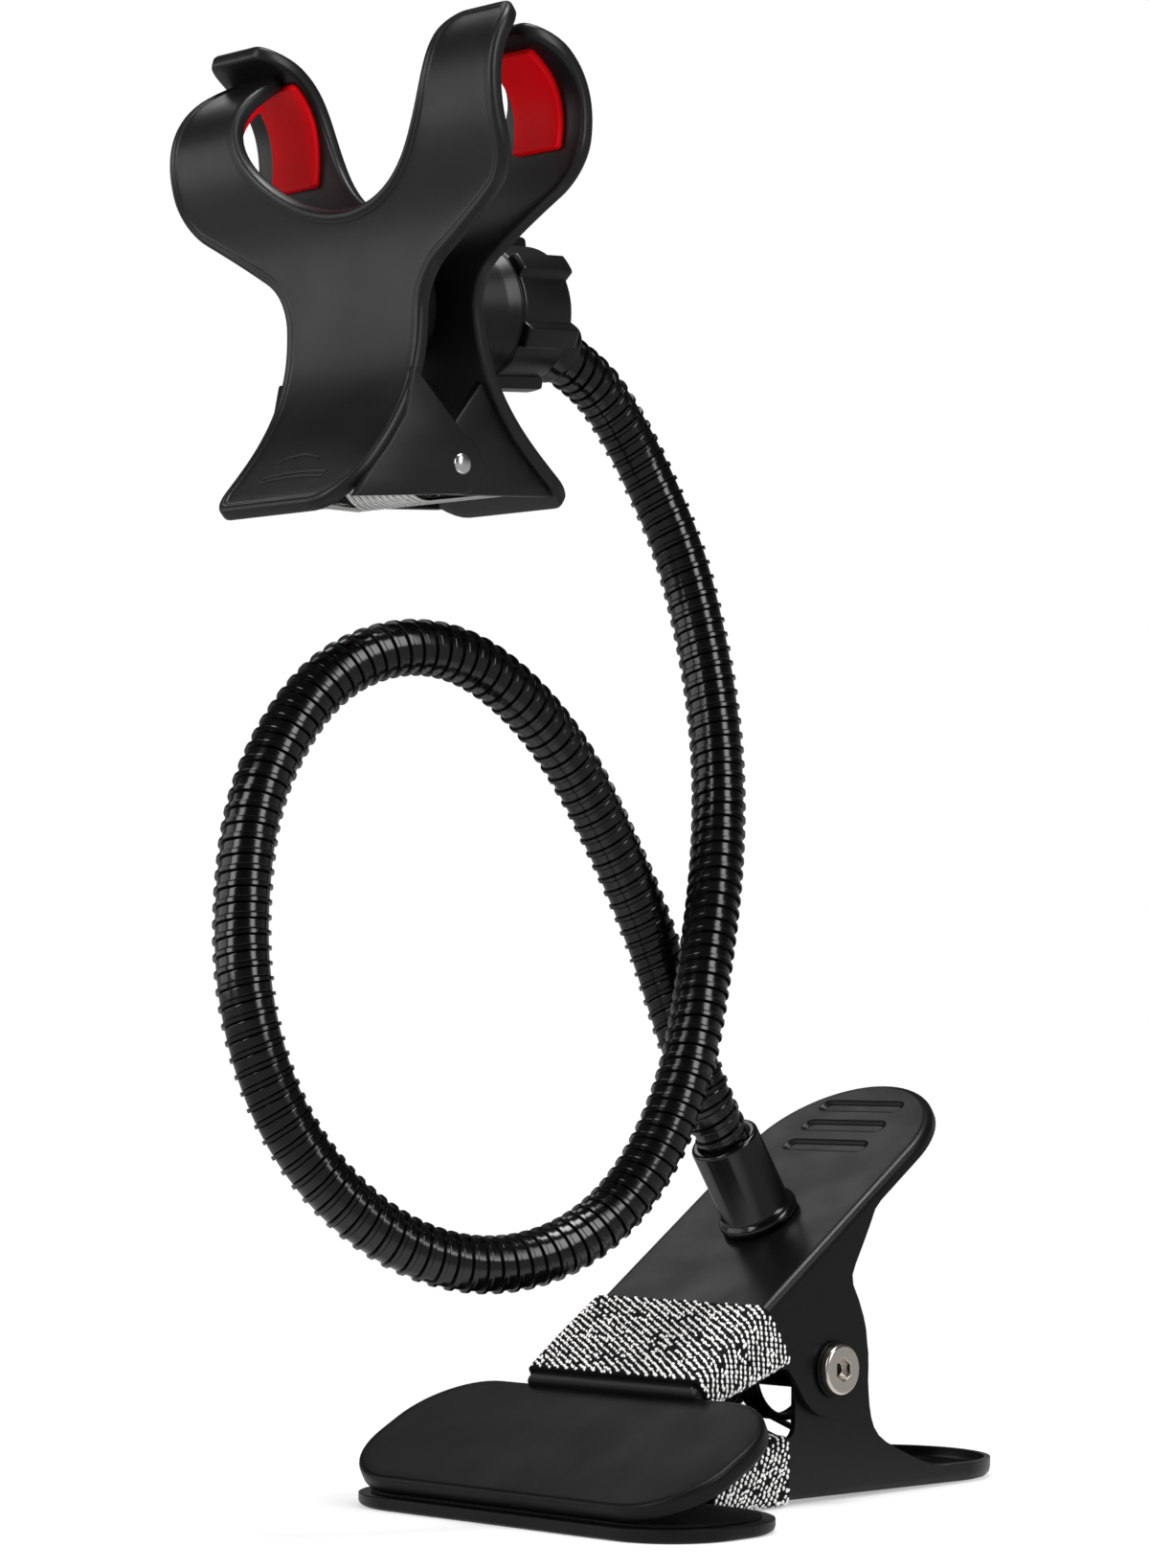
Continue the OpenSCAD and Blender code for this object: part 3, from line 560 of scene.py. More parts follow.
def finished(node, body, material, edge=0.25, crease=30):
    """A CAD node whose shape is right: its own surface with the seams closed and the creases rounded."""
    bm = opened(frame["nodes"][node].data)
    bmesh.ops.scale(bm, vec=(1 / MM,) * 3, verts=bm.verts)
    bmesh.ops.remove_doubles(bm, verts=bm.verts, dist=0.002)
    bmesh.ops.dissolve_limit(bm, angle_limit=radians(0.5), verts=bm.verts, edges=bm.edges)
    return piece(node + "_finished", bm, Matrix.Identity(4), body, material, [node], crease, edge)


# Clamp

finished("lower_lever", "base", painted_steel, 0.35)
finished("lower_pad", "base", pad_plastic, 0.3)
finished("lower_grip", "base", facing_rubber, 0.15)
finished("upper_grip", "upper_jaw", facing_rubber, 0.15)
finished("lower_pad_rivets", "base", zinc, 0.2)
finished("upper_pad_rivets", "upper_jaw", zinc, 0.2)
finished("collar_screw", "upper_jaw", zinc, 0.15)
finished("pivot_bolt", "base", nickel, 0.2)
finished("pivot_nut", "base", nickel, 0.2)
finished("pivot_sleeve", "base", black_steel, 0.2)
finished("pivot_washers", "base", pad_plastic, 0.15)

# the upper lever's side wall seen from the side, from the nose round the pivot's ear to the tail's rim
RIM_FOOT = LEVER_RISE - RIM
WALL_FOOT = ([(-30, 15), (-22, 12.2), (-12.5, 9.6), (-10.8, 8.2), (-10.4, 5)]
             + arc((0.6, 1.6), EAR_R, 180, 340, 16)
             + [(12.3, 0.5), (13.1, 3), (13.8, 6.5), (14.1, 10), (15, 11.8), (17, 13),
                (20.9, 14.8), (24.6, 16.6), (28, 18.4), (30.5, RIM_FOOT)])
NOSE_FOOT = 16.5


def groove_drop(p):
    """How far the thumb grooves sink the plate at a point of its plan."""
    deep = 0.0
    for k in range(GROOVES):
        x = min(GROOVE_HALF, max(-GROOVE_HALF, p.x - GROOVE_X)) + GROOVE_X
        off = (p - Vector((x, GROOVE_AT + GROOVE_PITCH * k))).length
        deep = max(deep, (GROOVE_R - off) / GROOVE_WALL)
    return GROOVE_DEPTH * smooth(deep)


def groove_rings():
    """Points for the plate's net where its grooves curve."""
    points = []
    for k in range(GROOVES):
        at = GROOVE_AT + GROOVE_PITCH * k
        for step in (0.25, 0, -0.3, -0.6, -0.9, -1.15):
            r = GROOVE_R + step
            points += dense(arc((GROOVE_X + GROOVE_HALF, at), r, -90, 90, 8)
                            + arc((GROOVE_X - GROOVE_HALF, at), r, 90, 270, 8), 0.7)
    return points


def upper_lever():
    """One pressed sheet: its walls and rim are bent down all round a plate with three thumb grooves."""
    w = LEVER_W / 2
    bend = 1.9
    turn_u = TAIL_L - w
    nose = [(x, -NOSE_L, NOSE_FOOT) for x in (-w, -15, -5, 5, 15, w)]
    right = [(w, u, v) for u, v in WALL_FOOT] + [(w, u, RIM_FOOT) for u in (35, 40, turn_u)]
    tail = [(x, u, RIM_FOOT) for x, u in arc((0, turn_u), w, 0, 180, 40)[1:-1]]
    left = [(-x, u, v) for x, u, v in reversed(right)]
    ring = nose + right + tail + left
    plan = [Vector((x, u)) for x, u, v in ring]
    rows = [[Vector(p) for p in ring]]
    for k in range(7):
        a = radians(15 * k)
        v = LEVER_RISE - bend * (1 - sin(a))
        rows.append([Vector((p.x, p.y, v)) for p in inset(plan, bend * (1 - cos(a)))])
    bm = bmesh.new()
    made = skin(bm, rows)
    fill(bm, made[-1], inset(plan, bend), lambda p: Vector((p.x, p.y, LEVER_RISE - groove_drop(p))), (3, 3),
         groove_rings())
    bmesh.ops.recalc_face_normals(bm, faces=bm.faces)
    bmesh.ops.solidify(bm, geom=bm.faces[:], thickness=SHEET_T)
    piece("upper_lever_pressed", bm, ON_UPPER, "upper_jaw", painted_steel, ["upper_lever"],
          50, 0.25)


def stadium(length, depth, r, steps=14):
    """A plate's outline with its front edge on y = 0."""
    x = length / 2 - r
    return dense(arc((x, r), r, -90, 0, steps) + arc((x, depth - r), r, 0, 90, steps)
                 + arc((-x, depth - r), r, 90, 180, steps) + arc((-x, r), r, 180, 270, steps), 3)


def upper_pad():
    """The upper jaw's plate, and the root that goes up inside the lever's nose."""
    bm = bmesh.new()
    edge = rounded([(3.0, UPPER_PAD_T), (0, UPPER_PAD_T), (0, 0), (3.0, 0)], 1.2, 5)
    moulding(bm, stadium(PAD_L, PAD_D, PAD_R), edge, lambda x, y, h: Vector((x, y, h)), (6, 6))
    back, front, top = -NOSE_L + 11, -NOSE_L + 1.6, LEVER_RISE - 1.3
    from_lever = ON_UPPER_PAD.inverted() @ ON_UPPER
    root = [(from_lever @ Vector((0, u, v))).yz
            for u, v in ((back, LEVER_RISE - 6), (back, top), (front, top), (front, 18.2))]
    half = LOWER_W / 2 - 0.8
    slab(bm, [(PAD_D - 2, 1), (PAD_D - 0.3, 1)] + root + [(PAD_D - 4, 2.6)], -half, half)
    piece("upper_pad_moulding", bm, ON_UPPER_PAD, "upper_jaw", pad_plastic, ["upper_pad"])


def base_spring():
    """Two close coils round the pivot with a leg under either tail. The upper legs ride the upper lever:
    each brings the coil's first 30 degrees, and a thinner tongue that slides in the rest as the jaws open."""
    wire_r, r, pitch, steps = 0.65, 10.2, 1.42, 48
    outer_x, inner_x = 11, 6.1
    first = steps // 12
    leg, rise = TAIL_L * 0.66, LEVER_RISE - SHEET_T - wire_r
    lean = radians(LEVER_SLOPE + LOWER_TILT)
    leg_y, leg_z = leg * cos(lean) - rise * sin(lean), leg * sin(lean) + rise * cos(lean)
    lower, upper = bmesh.new(), bmesh.new()
    for s in (-1, 1):
        turns = coil(s * outer_x, -s * pitch, 3.42, r, 118, steps)
        lower_end = Vector((s * inner_x, TAIL_L * 0.48, -LOWER_RISE + SHEET_T + wire_r))
        join(upper, wire([Vector((s * outer_x, leg_y, leg_z))] + turns[:first + 1], wire_r))
        join(upper, wire(turns[first - 2:2 * first + 2], wire_r - 0.1))
        join(lower, wire(turns[first:] + [lower_end], wire_r))
    piece("base_spring_wire", lower, ON_LOWER, "base", black_steel, ["base_spring"], 60)
    piece("base_spring_legs", upper, ON_LOWER, "upper_jaw", black_steel, (), 60)


upper_lever()
upper_pad()
base_spring()


# Woven sleeves

def stitch_tree():
    """White stitches laid on a black net: a thread bead on its faces, in slanting chains."""
    tree, given = new_tree("stitches", ("Stitch length", "Stitch width", "Shift", "Stray", "Slant"),
                           ("Stitches round", "White every", "Seed"))
    math = calculator(tree)

    def whole(operation, a, b):
        return add(tree, "FunctionNodeIntegerMath", {0: a, 1: b}, operation=operation).outputs[0]

    def chance(low, high):
        return add(tree, "FunctionNodeRandomValue", {2: low, 3: high, "Seed": given["Seed"]},
                   data_type="FLOAT").outputs[1]

    def direction(name):
        return add(tree, "GeometryNodeInputNamedAttribute", {"Name": name},
                   data_type="FLOAT_VECTOR").outputs[0]

    def vector(x, y, z):
        return add(tree, "ShaderNodeCombineXYZ", {"X": x, "Y": y, "Z": z}).outputs[0]

    # a bead's place, a little off the middle of its face
    centres = add(tree, "GeometryNodeMeshToPoints", {"Mesh": given["Geometry"]}, mode="FACES").outputs[0]
    least = math("MULTIPLY", given["Shift"], -1.0)
    shift = add(tree, "FunctionNodeRandomValue", {0: vector(least, least, least),
                                                  1: vector(*[given["Shift"]] * 3), "Seed": given["Seed"]},
                data_type="FLOAT_VECTOR").outputs[0]
    points = add(tree, "GeometryNodeSetPosition", {"Geometry": centres, "Offset": shift}).outputs[0]
    # its turn: flat on the face, along the row, then slanted
    upright = add(tree, "FunctionNodeAlignRotationToVector", {"Vector": direction("facing")},
                  axis="Z").outputs[0]
    lying = add(tree, "FunctionNodeAlignRotationToVector",
                {"Rotation": upright, "Vector": direction("along")}, axis="X", pivot_axis="Z").outputs[0]
    lean = math("ADD", chance(-0.5, 0.5), given["Slant"])
    angled = add(tree, "FunctionNodeRotateRotation", {"Rotation": lying, "Rotate By": vector(0, 0, lean)},
                 rotation_space="LOCAL").outputs[0]
    # white is the first of each few faces, counted along a diagonal, and a few strays swap
    index = add(tree, "GeometryNodeInputIndex").outputs[0]
    column = whole("MODULO", index, given["Stitches round"])
    row = whole("DIVIDE", index, given["Stitches round"])
    place = whole("MODULO", whole("SUBTRACT", column, row), given["White every"])
    first = add(tree, "FunctionNodeCompare", {2: place, 3: 0}, data_type="INT", operation="EQUAL").outputs[0]
    stray = math("LESS_THAN", chance(0.0, 1.0), given["Stray"])
    white = math("ABSOLUTE", math("SUBTRACT", first, stray))
    bead = add(tree, "GeometryNodeMeshUVSphere", {"Radius": 0.5, "Segments": 8, "Rings": 5}).outputs["Mesh"]
    width = math("MULTIPLY", chance(0.75, 1.35), given["Stitch width"])
    size = vector(given["Stitch length"], width, given["Stitch width"])
    laid = add(tree, "GeometryNodeInstanceOnPoints", {"Points": points, "Instance": bead, "Selection": white,
                                                      "Rotation": angled, "Scale": size}).outputs[0]
    shaded = add(tree, "GeometryNodeStoreNamedAttribute", {"Geometry": laid, "Name": "shade", "Value": 1.0},
                 data_type="FLOAT", domain="INSTANCE").outputs[0]
    both = add(tree, "GeometryNodeJoinGeometry")
    tree.links.new(shaded, both.inputs[0])
    tree.links.new(given["Geometry"], both.inputs[0])
    end_tree(tree, both.outputs[0], given["Material"])
    return tree


STITCHES = stitch_tree()


def spread(points, count):
    """The same closed outline with evenly spaced points."""
    gaps = [(b - a).length for a, b in zip(points, points[1:] + points[:1])]
    total, out, k, gone = sum(gaps), [], 0, 0.0
    for i in range(count):
        want = total * i / count
        while gone + gaps[k] < want:
            gone += gaps[k]
            k += 1
        out.append(points[k].lerp(points[(k + 1) % len(points)], (want - gone) / gaps[k]))
    return out


def sleeve(name, place, body, front, back, half, node, seed):
    """An elastic sleeve. front and back are [along, low, high], and half is half its width. Its outer skin
    is the net that the stitches lie on."""
    length = back[0] - front[0]
    at_place = Matrix.Scale(MM, 4) @ place

    def ring(f, grow):
        """The sleeve's section at share f of its length, moved outwards by grow."""
        low = front[1] + (back[1] - front[1]) * f - grow
        high = front[2] + (back[2] - front[2]) * f + grow
        w = half + grow
        return dense(rounded_box(-w, w, low, high, max(0.4, 2 + grow), 8), 0.5)

    def row(f, grow):
        return [Vector((p.x, front[0] + length * f, p.y)) for p in spread(ring(f, grow), around)]

    girth = ring(0.5, 0)
    around = int(sum((b - a).length for a, b in zip(girth, girth[1:])) / CELL_W) // WHITE_EVERY * WHITE_EVERY
    rows = int(length / CELL_L)
    bm = bmesh.new()
    skin(bm, [row(j / rows, -HEM + HEM * sin(pi * j / rows) ** 0.5) for j in range(rows + 1)])
    move(bm, at_place)
    bm.normal_update()
    mesh = closed(name, bm)
    centre = at_place @ Vector((0, (front[0] + back[0]) / 2, (front[2] + back[1]) / 2))
    sense = 1 if sum((f.center - centre).dot(f.normal) for f in mesh.polygons) > 0 else -1
    facing = mesh.attributes.new("facing", "FLOAT_VECTOR", "FACE")
    along = mesh.attributes.new("along", "FLOAT_VECTOR", "FACE")
    for f in mesh.polygons:
        facing.data[f.index].vector = f.normal * sense
        a, b = (mesh.vertices[v].co for v in f.vertices[:2])
        along.data[f.index].vector = (b - a).normalized()
    mesh = grown(name, mesh, STITCHES, {
        "Stitch length": 1.0 * MM, "Stitch width": 0.56 * MM, "Shift": 0.12 * MM, "Stray": 0.065,
        "Slant": -0.46, "White every": WHITE_EVERY, "Stitches round": around, "Seed": seed,
        "Material": woven})
    bm = opened(mesh)
    # the cloth under the stitches, with its inner side and its turned edges
    cloth = bmesh.new()
    skin(cloth, [row(f, g - HEM) for f, g in ((0.0, 0.0), (0.0, -STRAP_T), (1.0, -STRAP_T), (1.0, 0.0))])
    move(cloth, at_place)
    join(bm, cloth)
    move(bm, Matrix.Scale(MM, 4).inverted())
    return piece(name, bm, Matrix.Identity(4), body, woven, [node], 80)


sleeve("upper_strap_weave", ON_UPPER, "upper_jaw",
       [-NOSE_L + 2.2, LEVER_RISE - 6.0, LEVER_RISE + STRAP_PROUD],
       [-9.7, LEVER_RISE - 13.0, LEVER_RISE + STRAP_PROUD], LEVER_W / 2 + STRAP_PROUD, "upper_strap", 3)
sleeve("lower_strap_weave", ON_LOWER, "base", [-PAD_FRONT + PAD_D + 1, -LOWER_RISE - 0.85, -LOWER_RISE + 7.4],
       [-12.3, -LOWER_RISE - 0.85, -12.1], LOWER_W / 2 + STRAP_PROUD, "lower_strap", 8)


# Collar and gooseneck

def collar():
    """A turned tube on a rounded ring, with the seat that the gooseneck enters."""
    seat_r, seat_z = CORE_R + 0.1, COLLAR_L - HOSE_SEAT
    rim = rounded([(COLLAR_D / 2, 3.2), (COLLAR_D / 2, COLLAR_L), (seat_r, COLLAR_L), (seat_r, seat_z)], 0.8)
    profile = ([(0, 0), (COLLAR_RING / 2 - 0.5, 0)] + arc((COLLAR_RING / 2 - 0.9, 1.3), 1.3, -60, 60, 8)
               + [(COLLAR_D / 2 + 0.3, 2.7)] + rim + [(0, seat_z)])
    piece("collar_turned", lathe(profile), ON_COLLAR, "upper_jaw", hose_gloss, ["collar"], 50)


collar()

# the gooseneck's route between its two ends, behind and above the clamp's pivot
HOSE_ROUTE = [
    (-3, -16, 91), (-7, -17, 103), (-9, -22, 117), (-10, -30, 131), (-11, -39, 145),
    (-11, -51, 156), (-13, -65, 165), (-16, -80, 167), (-20, -95, 161), (-22, -105, 149),
    (-22, -113, 135), (-20, -117, 119), (-18, -119, 104), (-15, -118, 89), (-12, -113, 74),
    (-7, -104, 61), (-2, -92, 52), (3, -78, 48), (7, -62, 50), (10, -48, 58),
    (12, -38, 71), (12, -30, 86), (9, -23, 103), (4, -14, 120), (-1, -7, 138),
    (-5, -4, 156), (-9, -4, 174), (-13, -6, 191), (-17, -10, 204), (-19, -16, 215)]
# each joint of the gooseneck, with the bodies below and above it
BENDS = (("neck_bend_low", "upper_jaw", "neck_loop"), ("neck_bend_mid", "neck_loop", "neck_rise"),
         ("neck_bend_high", "neck_rise", "neck_tip"))
HOSE_NODES = {"upper_jaw": "hose_root", "neck_loop": "hose_loop", "neck_rise": "hose_rise",
              "neck_tip": "hose_tip"}


def hose_line():
    """The gooseneck's middle line, from inside the collar to inside the stud's sleeve."""
    back = Vector((0, joints["clamp_hinge"].y, 0))
    foot = [ON_COLLAR @ Vector((0, 0, h)) for h in (-5, 4, 13, 22, 29)]
    head = [ON_STUD @ Vector((0, 0, h)) for h in (28, 20, 12, 4)]
    return b_spline(foot + [Vector(p) + back for p in HOSE_ROUTE] + head, 16)


def winding_tree():
    """A strip wound round a line: each turn is a flat band with a raised rib, and its edges meet the
    next turn's."""
    tree, given = new_tree("wound hose", ("Core radius", "Rib height", "Rib width", "Pitch", "First turn"),
                           ("Turns", "Sides", "Steps"))
    math = calculator(tree)

    def vector(operation, a, b=(0, 0, 0), scale=1.0):
        return add(tree, "ShaderNodeVectorMath", {0: a, 1: b, 3: scale}, operation=operation).outputs[0]

    # a flat strip from -0.5 to 0.5: X runs along the turns, and Y across a band with its rib in the middle
    strip = add(tree, "GeometryNodeMeshGrid", {
        "Size X": 1.0, "Size Y": 1.0, "Vertices X": math("MULTIPLY_ADD", given["Turns"], given["Sides"], 1.0),
        "Vertices Y": math("ADD", given["Steps"], 1.0)}).outputs["Mesh"]
    at = add(tree, "ShaderNodeSeparateXYZ", {0: add(tree, "GeometryNodeInputPosition").outputs[0]}).outputs
    turns = math("MULTIPLY_ADD", math("ADD", at[0], 0.5), given["Turns"], given["First turn"])
    # five of a side's eight steps go to the rib, so that its walls stay steep
    rib_end = 5 / 16
    off = math("ABSOLUTE", at[1])
    near = math("MULTIPLY", math("MINIMUM", off, rib_end),
                math("DIVIDE", math("MULTIPLY", given["Rib width"], 2.0), given["Pitch"]))
    foot = math("DIVIDE", math("MULTIPLY", given["Rib width"], 2 * rib_end), given["Pitch"])
    far = math("MULTIPLY", math("MAXIMUM", math("SUBTRACT", off, rib_end), 0.0),
               math("DIVIDE", math("SUBTRACT", 0.5, foot), 0.5 - rib_end))
    share = math("MULTIPLY_ADD", math("SIGN", at[1]), math("ADD", near, far), 0.5)
    length = math("MULTIPLY", math("ADD", turns, share), given["Pitch"])
    # a flat-topped rib with a fine groove along either foot, as shares of its height
    top_end, groove_at, groove = 3 / 16, 4 / 16, 0.4
    wall = ramp(tree, off, top_end, groove_at, 1.0, -groove)
    crest = math("ADD", wall, ramp(tree, off, groove_at, rib_end, 0.0, groove))
    radius = math("MULTIPLY_ADD", crest, given["Rib height"], given["Core radius"])
    # each point goes out from the line at its own angle
    angle = math("MULTIPLY", turns, 2 * pi)
    line = add(tree, "GeometryNodeSampleCurve", {"Curves": given["Geometry"], "Length": length},
               mode="LENGTH").outputs
    side = vector("CROSS_PRODUCT", line["Tangent"], line["Normal"])
    out = vector("ADD", vector("SCALE", line["Normal"], scale=math("COSINE", angle)),
                 vector("SCALE", side, scale=math("SINE", angle)))
    place = vector("ADD", line["Position"], vector("SCALE", out, scale=radius))
    moved = add(tree, "GeometryNodeSetPosition", {"Geometry": strip, "Position": place}).outputs[0]
    welded = add(tree, "GeometryNodeMergeByDistance", {"Geometry": moved, "Distance": 0.00002}).outputs[0]
    end_tree(tree, welded, given["Material"])
    return tree


def hose():
    """The gooseneck in lengths: each rigid one rides its body, and a short one at each joint rides no body.
    """
    line = hose_line()
    lengths = lengths_along(line)
    reach = 4 * RIB_PITCH

    def at(length):
        return line[max(k for k, gone in enumerate(lengths) if gone <= length)]

    # where each length stops, its body, and for a bend the next body and the joint's place along the line
    spans = []
    for name, below, above in BENDS:
        middle = lengths[min(range(len(line)), key=lambda k: (line[k] - joints[name]).length)]
        spans.append((middle - reach - RIB_PITCH, below, None))
        spans.append((middle + reach + RIB_PITCH, below, (above, middle)))
    spans.append((lengths[-1] - 1.8, "neck_tip", None))

    curve = poly_curve("route", [p * MM for p in line])
    tree = winding_tree()
    first = int((COLLAR_L - HOSE_SEAT - 3.8) / RIB_PITCH) + 1
    for k, (stop, body, bend) in enumerate(spans):
        last = int(stop / RIB_PITCH)
        mesh = grown("hose", curve, tree, {
            "Core radius": CORE_R * MM, "Rib height": RIB_H * MM, "Rib width": RIB_W * MM,
            "Pitch": RIB_PITCH * MM, "First turn": float(first), "Turns": last - first, "Sides": 40,
            "Steps": 16, "Material": hose_gloss})
        bm = opened(mesh)
        move(bm, Matrix.Scale(1 / MM, 4))
        bmesh.ops.holes_fill(bm, edges=[e for e in bm.edges if e.is_boundary])
        name = f"hose_bend_{(k + 1) // 2}" if bend else HOSE_NODES[body] + "_wound"
        nodes = () if bend else [HOSE_NODES[body]]
        made = piece(name, bm, Matrix.Identity(4), body, hose_gloss, nodes, 70)
        if bend:
            made.parent = None
            del made["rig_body"]
            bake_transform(made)
        first = last


hose()


# Ball joint

def ball_stud():
    """The ball, its neck, and the ferrule that the gooseneck goes into."""
    r = BALL_D / 2
    neck = acos(NECK_D / 2 / r)
    ball = [(r * sin(pi * k / 40), -r * cos(pi * k / 40)) for k in range(41)]
    ball = [(x, z) for x, z in ball if -z > -r * sin(neck)]
    half = (HOSE_D + 2.6) / 2
    top, floor = NECK_L + SLEEVE_L, NECK_L + SLEEVE_FLOOR
    ferrule = rounded([(NECK_D / 2, NECK_L - 1), (NECK_D / 2, NECK_L), (half, NECK_L + 2), (half, top),
                       (CORE_R + 0.1, top), (CORE_R + 0.1, floor)], 0.8)
    profile = ball + [(NECK_D / 2, r * sin(neck))] + ferrule + [(0, floor)]
    piece("ball_stud_turned", lathe(profile), ON_STUD, "neck_tip", hose_gloss, ["ball_stud"],
          50)


def ball_socket():
    """The stem behind the rear plate, with the cup that the ball turns in."""
    r, boss, nut_r, stem_r = BALL_D / 2 + SOCKET_WALL, BALL_D / 2 + 2.6, NUT_D / 2, 6.9
    foot, plate, shelf, lip = SOCKET_Y - PLATE_T - 0.2, SOCKET_Y + PLATE_T, NUT_BACK - 0.6, BALL_Y + 1.5
    outside = rounded([(stem_r, foot), (stem_r, plate + 0.5), (10, plate + 1.1), (10.4, 12),
                       (nut_r - 1.2, 22), (nut_r, 25), (nut_r, shelf), (boss, shelf),
                       (boss, lip), (r, lip), (r, BALL_Y)], 0.5)
    cup = [(r * cos(pi / 2 * k / 12), BALL_Y - r * sin(pi / 2 * k / 12)) for k in range(1, 12)]
    profile = [(0, foot)] + outside + cup + [(0, BALL_Y - r)]
    piece("ball_socket_moulding", lathe(profile), ON_BALL_AXIS, "clip_rear", nut_plastic,
          ["ball_socket"], 45)
    finished("socket_retainer", "clip_rear", nut_plastic, 0.4)


def lock_nut():
    """A ring with wide grip lobes: its outside runs between two profiles as it goes round."""
    r, boss, sides = NUT_D / 2, BALL_D / 2 + 2.7, 240
    # the lip's place behind the ball's middle, then a lobe's height, half width and first angle
    lip_back, lobe, lobe_half, first = 3.6, 2, 2.7, 25
    lip = sqrt((BALL_D / 2 + SOCKET_WALL) ** 2 - lip_back ** 2)
    mouth, outer, tall = lip + 2.6, r + lobe, NUT_L + 0.6
    plain = rounded([(boss, 0), (r, 0), (r, NUT_L), (r - 3.2, NUT_L), (mouth, NUT_L)], 1.0)
    lobed = rounded([(boss, 0), (outer, 0), (outer, tall), (r - 3, tall), (mouth, NUT_L)], 1.0)
    bore = [(mouth, BALL_Y + 5.9 - NUT_BACK), (lip, BALL_Y + lip_back - NUT_BACK),
            (boss - 0.1, BALL_Y + 3.1 - NUT_BACK), (boss, BALL_Y + 2 - NUT_BACK)]
    step = 360 / NUT_LOBES
    rows = []
    for p, q in zip(plain + bore, lobed + bore):
        row = []
        for k in range(sides):
            around = 2 * pi * k / sides
            a = (360 * k / sides - first) % step
            off = abs(a - (step if a > step / 2 else 0)) * pi / 180 * NUT_D / 2
            f = smooth(lobe_half - off)
            ring_r, z = p[0] + (q[0] - p[0]) * f, p[1] + (q[1] - p[1]) * f
            row.append(Vector((ring_r * cos(around), ring_r * sin(around), z + NUT_BACK)))
        rows.append(row)
    bm = bmesh.new()
    made = skin(bm, rows)
    for k in range(sides):
        bm.faces.new([made[-1][k], made[-1][(k + 1) % sides], made[0][(k + 1) % sides], made[0][k]])
    piece("lock_nut_moulding", bm, ON_BALL_AXIS, "nut", nut_plastic, ["lock_nut"], 50)


ball_stud()
ball_socket()
lock_nut()


# Phone clip: two alike mouldings, each with a high arm that laps over the other's low one

# the outside of an arm seen from the side: distance from the clip's middle, and height
ROOT_SIDE = [(37, -11.5), (31, -6.5), (25, -1), (19.4, 4.4), (14.5, 10.4), (10.8, 17), (8.7, 24), (8.2, 32),
             (7.6, 40), (8.4, 47), (10.8, 54)]
SIDES = {
    "high": b_spline(ROOT_SIDE + [(13, 61), (13.4, 68.5), (12, 75), (8, 80.8), (2, 84.6), (-5, 87.4),
                                  (-12, 90)], 24),
    "low": b_spline(ROOT_SIDE + [(12.6, 60), (12.8, 66), (10.8, 71.6), (6.6, 76), (0.6, 79.4), (-6, 82),
                                 (-13, 84)], 24)}
LENGTHS = {kind: lengths_along(line) for kind, line in SIDES.items()}


def look_up(value, xs, ys):
    """The value of ys where xs, which rises, comes to the given value."""
    for k in range(len(xs) - 1):
        if value <= xs[k + 1] or k == len(xs) - 2:
            return ys[k] + (ys[k + 1] - ys[k]) * (value - xs[k]) / (xs[k + 1] - xs[k])


def unroll(x, z):
    """A point of the front view as x and its length up the side's curve."""
    kind = "high" if x < 0 else "low"
    return Vector((x, look_up(z, [p.y for p in SIDES[kind]], LENGTHS[kind])))


def clip_face(x, q, h):
    """Back from the unrolled face into space, h outside it. The arms' curves meet at the waist."""
    spots = []
    for kind in ("high", "low"):
        line, lengths = SIDES[kind], LENGTHS[kind]
        last = len(line) - 1
        k = next((i for i, s in enumerate(lengths) if s > q), last) - 1
        k = min(max(0, k), last - 1)
        t = (q - lengths[k]) / (lengths[k + 1] - lengths[k])
        d0 = line[min(k + 1, last)] - line[max(k - 1, 0)]
        d1 = line[min(k + 2, last)] - line[k]
        d = d0.normalized().lerp(d1.normalized(), min(1, max(0, t))).normalized()
        spots.append(line[k].lerp(line[k + 1], t) + Vector((d.y, -d.x)) * h)
    p = spots[0].lerp(spots[1], smooth((x + WAIST_MIX) / (2 * WAIST_MIX)))
    return Vector((x, p.x, p.y))


def half_outline(tip_z, lip_r, notch_x):
    """The right half of the front view, from the foot of the middle up to the notch's foot."""
    e = Vector((WAIST_W + ARM_ROUND, WAIST_TOP))
    slope = radians(ARM_SLOPE)
    foot = e + ARM_ROUND * Vector((-sin(slope), cos(slope)))
    s_x = ARM_W - ARM_ROUND * (1 - sin(slope))
    s_z = foot.y + (s_x - foot.x) * sin(slope) / cos(slope)
    shoulder = (ARM_W - ARM_ROUND, s_z + ARM_ROUND * cos(slope))
    notch = [(x * notch_x / NOTCH_R, z) for x, z in arc((0, NOTCH_Z), NOTCH_R, 0, -90, 24)]
    return ([(0, LIP_Z)] + arc((WAIST_W - 0.5 - lip_r, LIP_Z + lip_r), lip_r, -90, 0, 8)
            + arc(e, ARM_ROUND, 180, 90 + ARM_SLOPE, 10) + arc(shoulder, ARM_ROUND, ARM_SLOPE - 90, 0, 10)
            + arc((ARM_W - TIP_ROUND, tip_z - TIP_ROUND), TIP_ROUND, 0, 90, 8)
            + arc((notch_x + 4.5, tip_z - 4.5), 4.5, 90, 180, 8) + notch)


def plate_outline(high_z, low_z, high_notch_x):
    right = dense_open(half_outline(low_z, 4, LOW_NOTCH_X))
    left = [(-x, z) for x, z in reversed(dense_open(half_outline(high_z, 9, high_notch_x)))]
    return [unroll(x, z) for x, z in right + left[1:-1]]


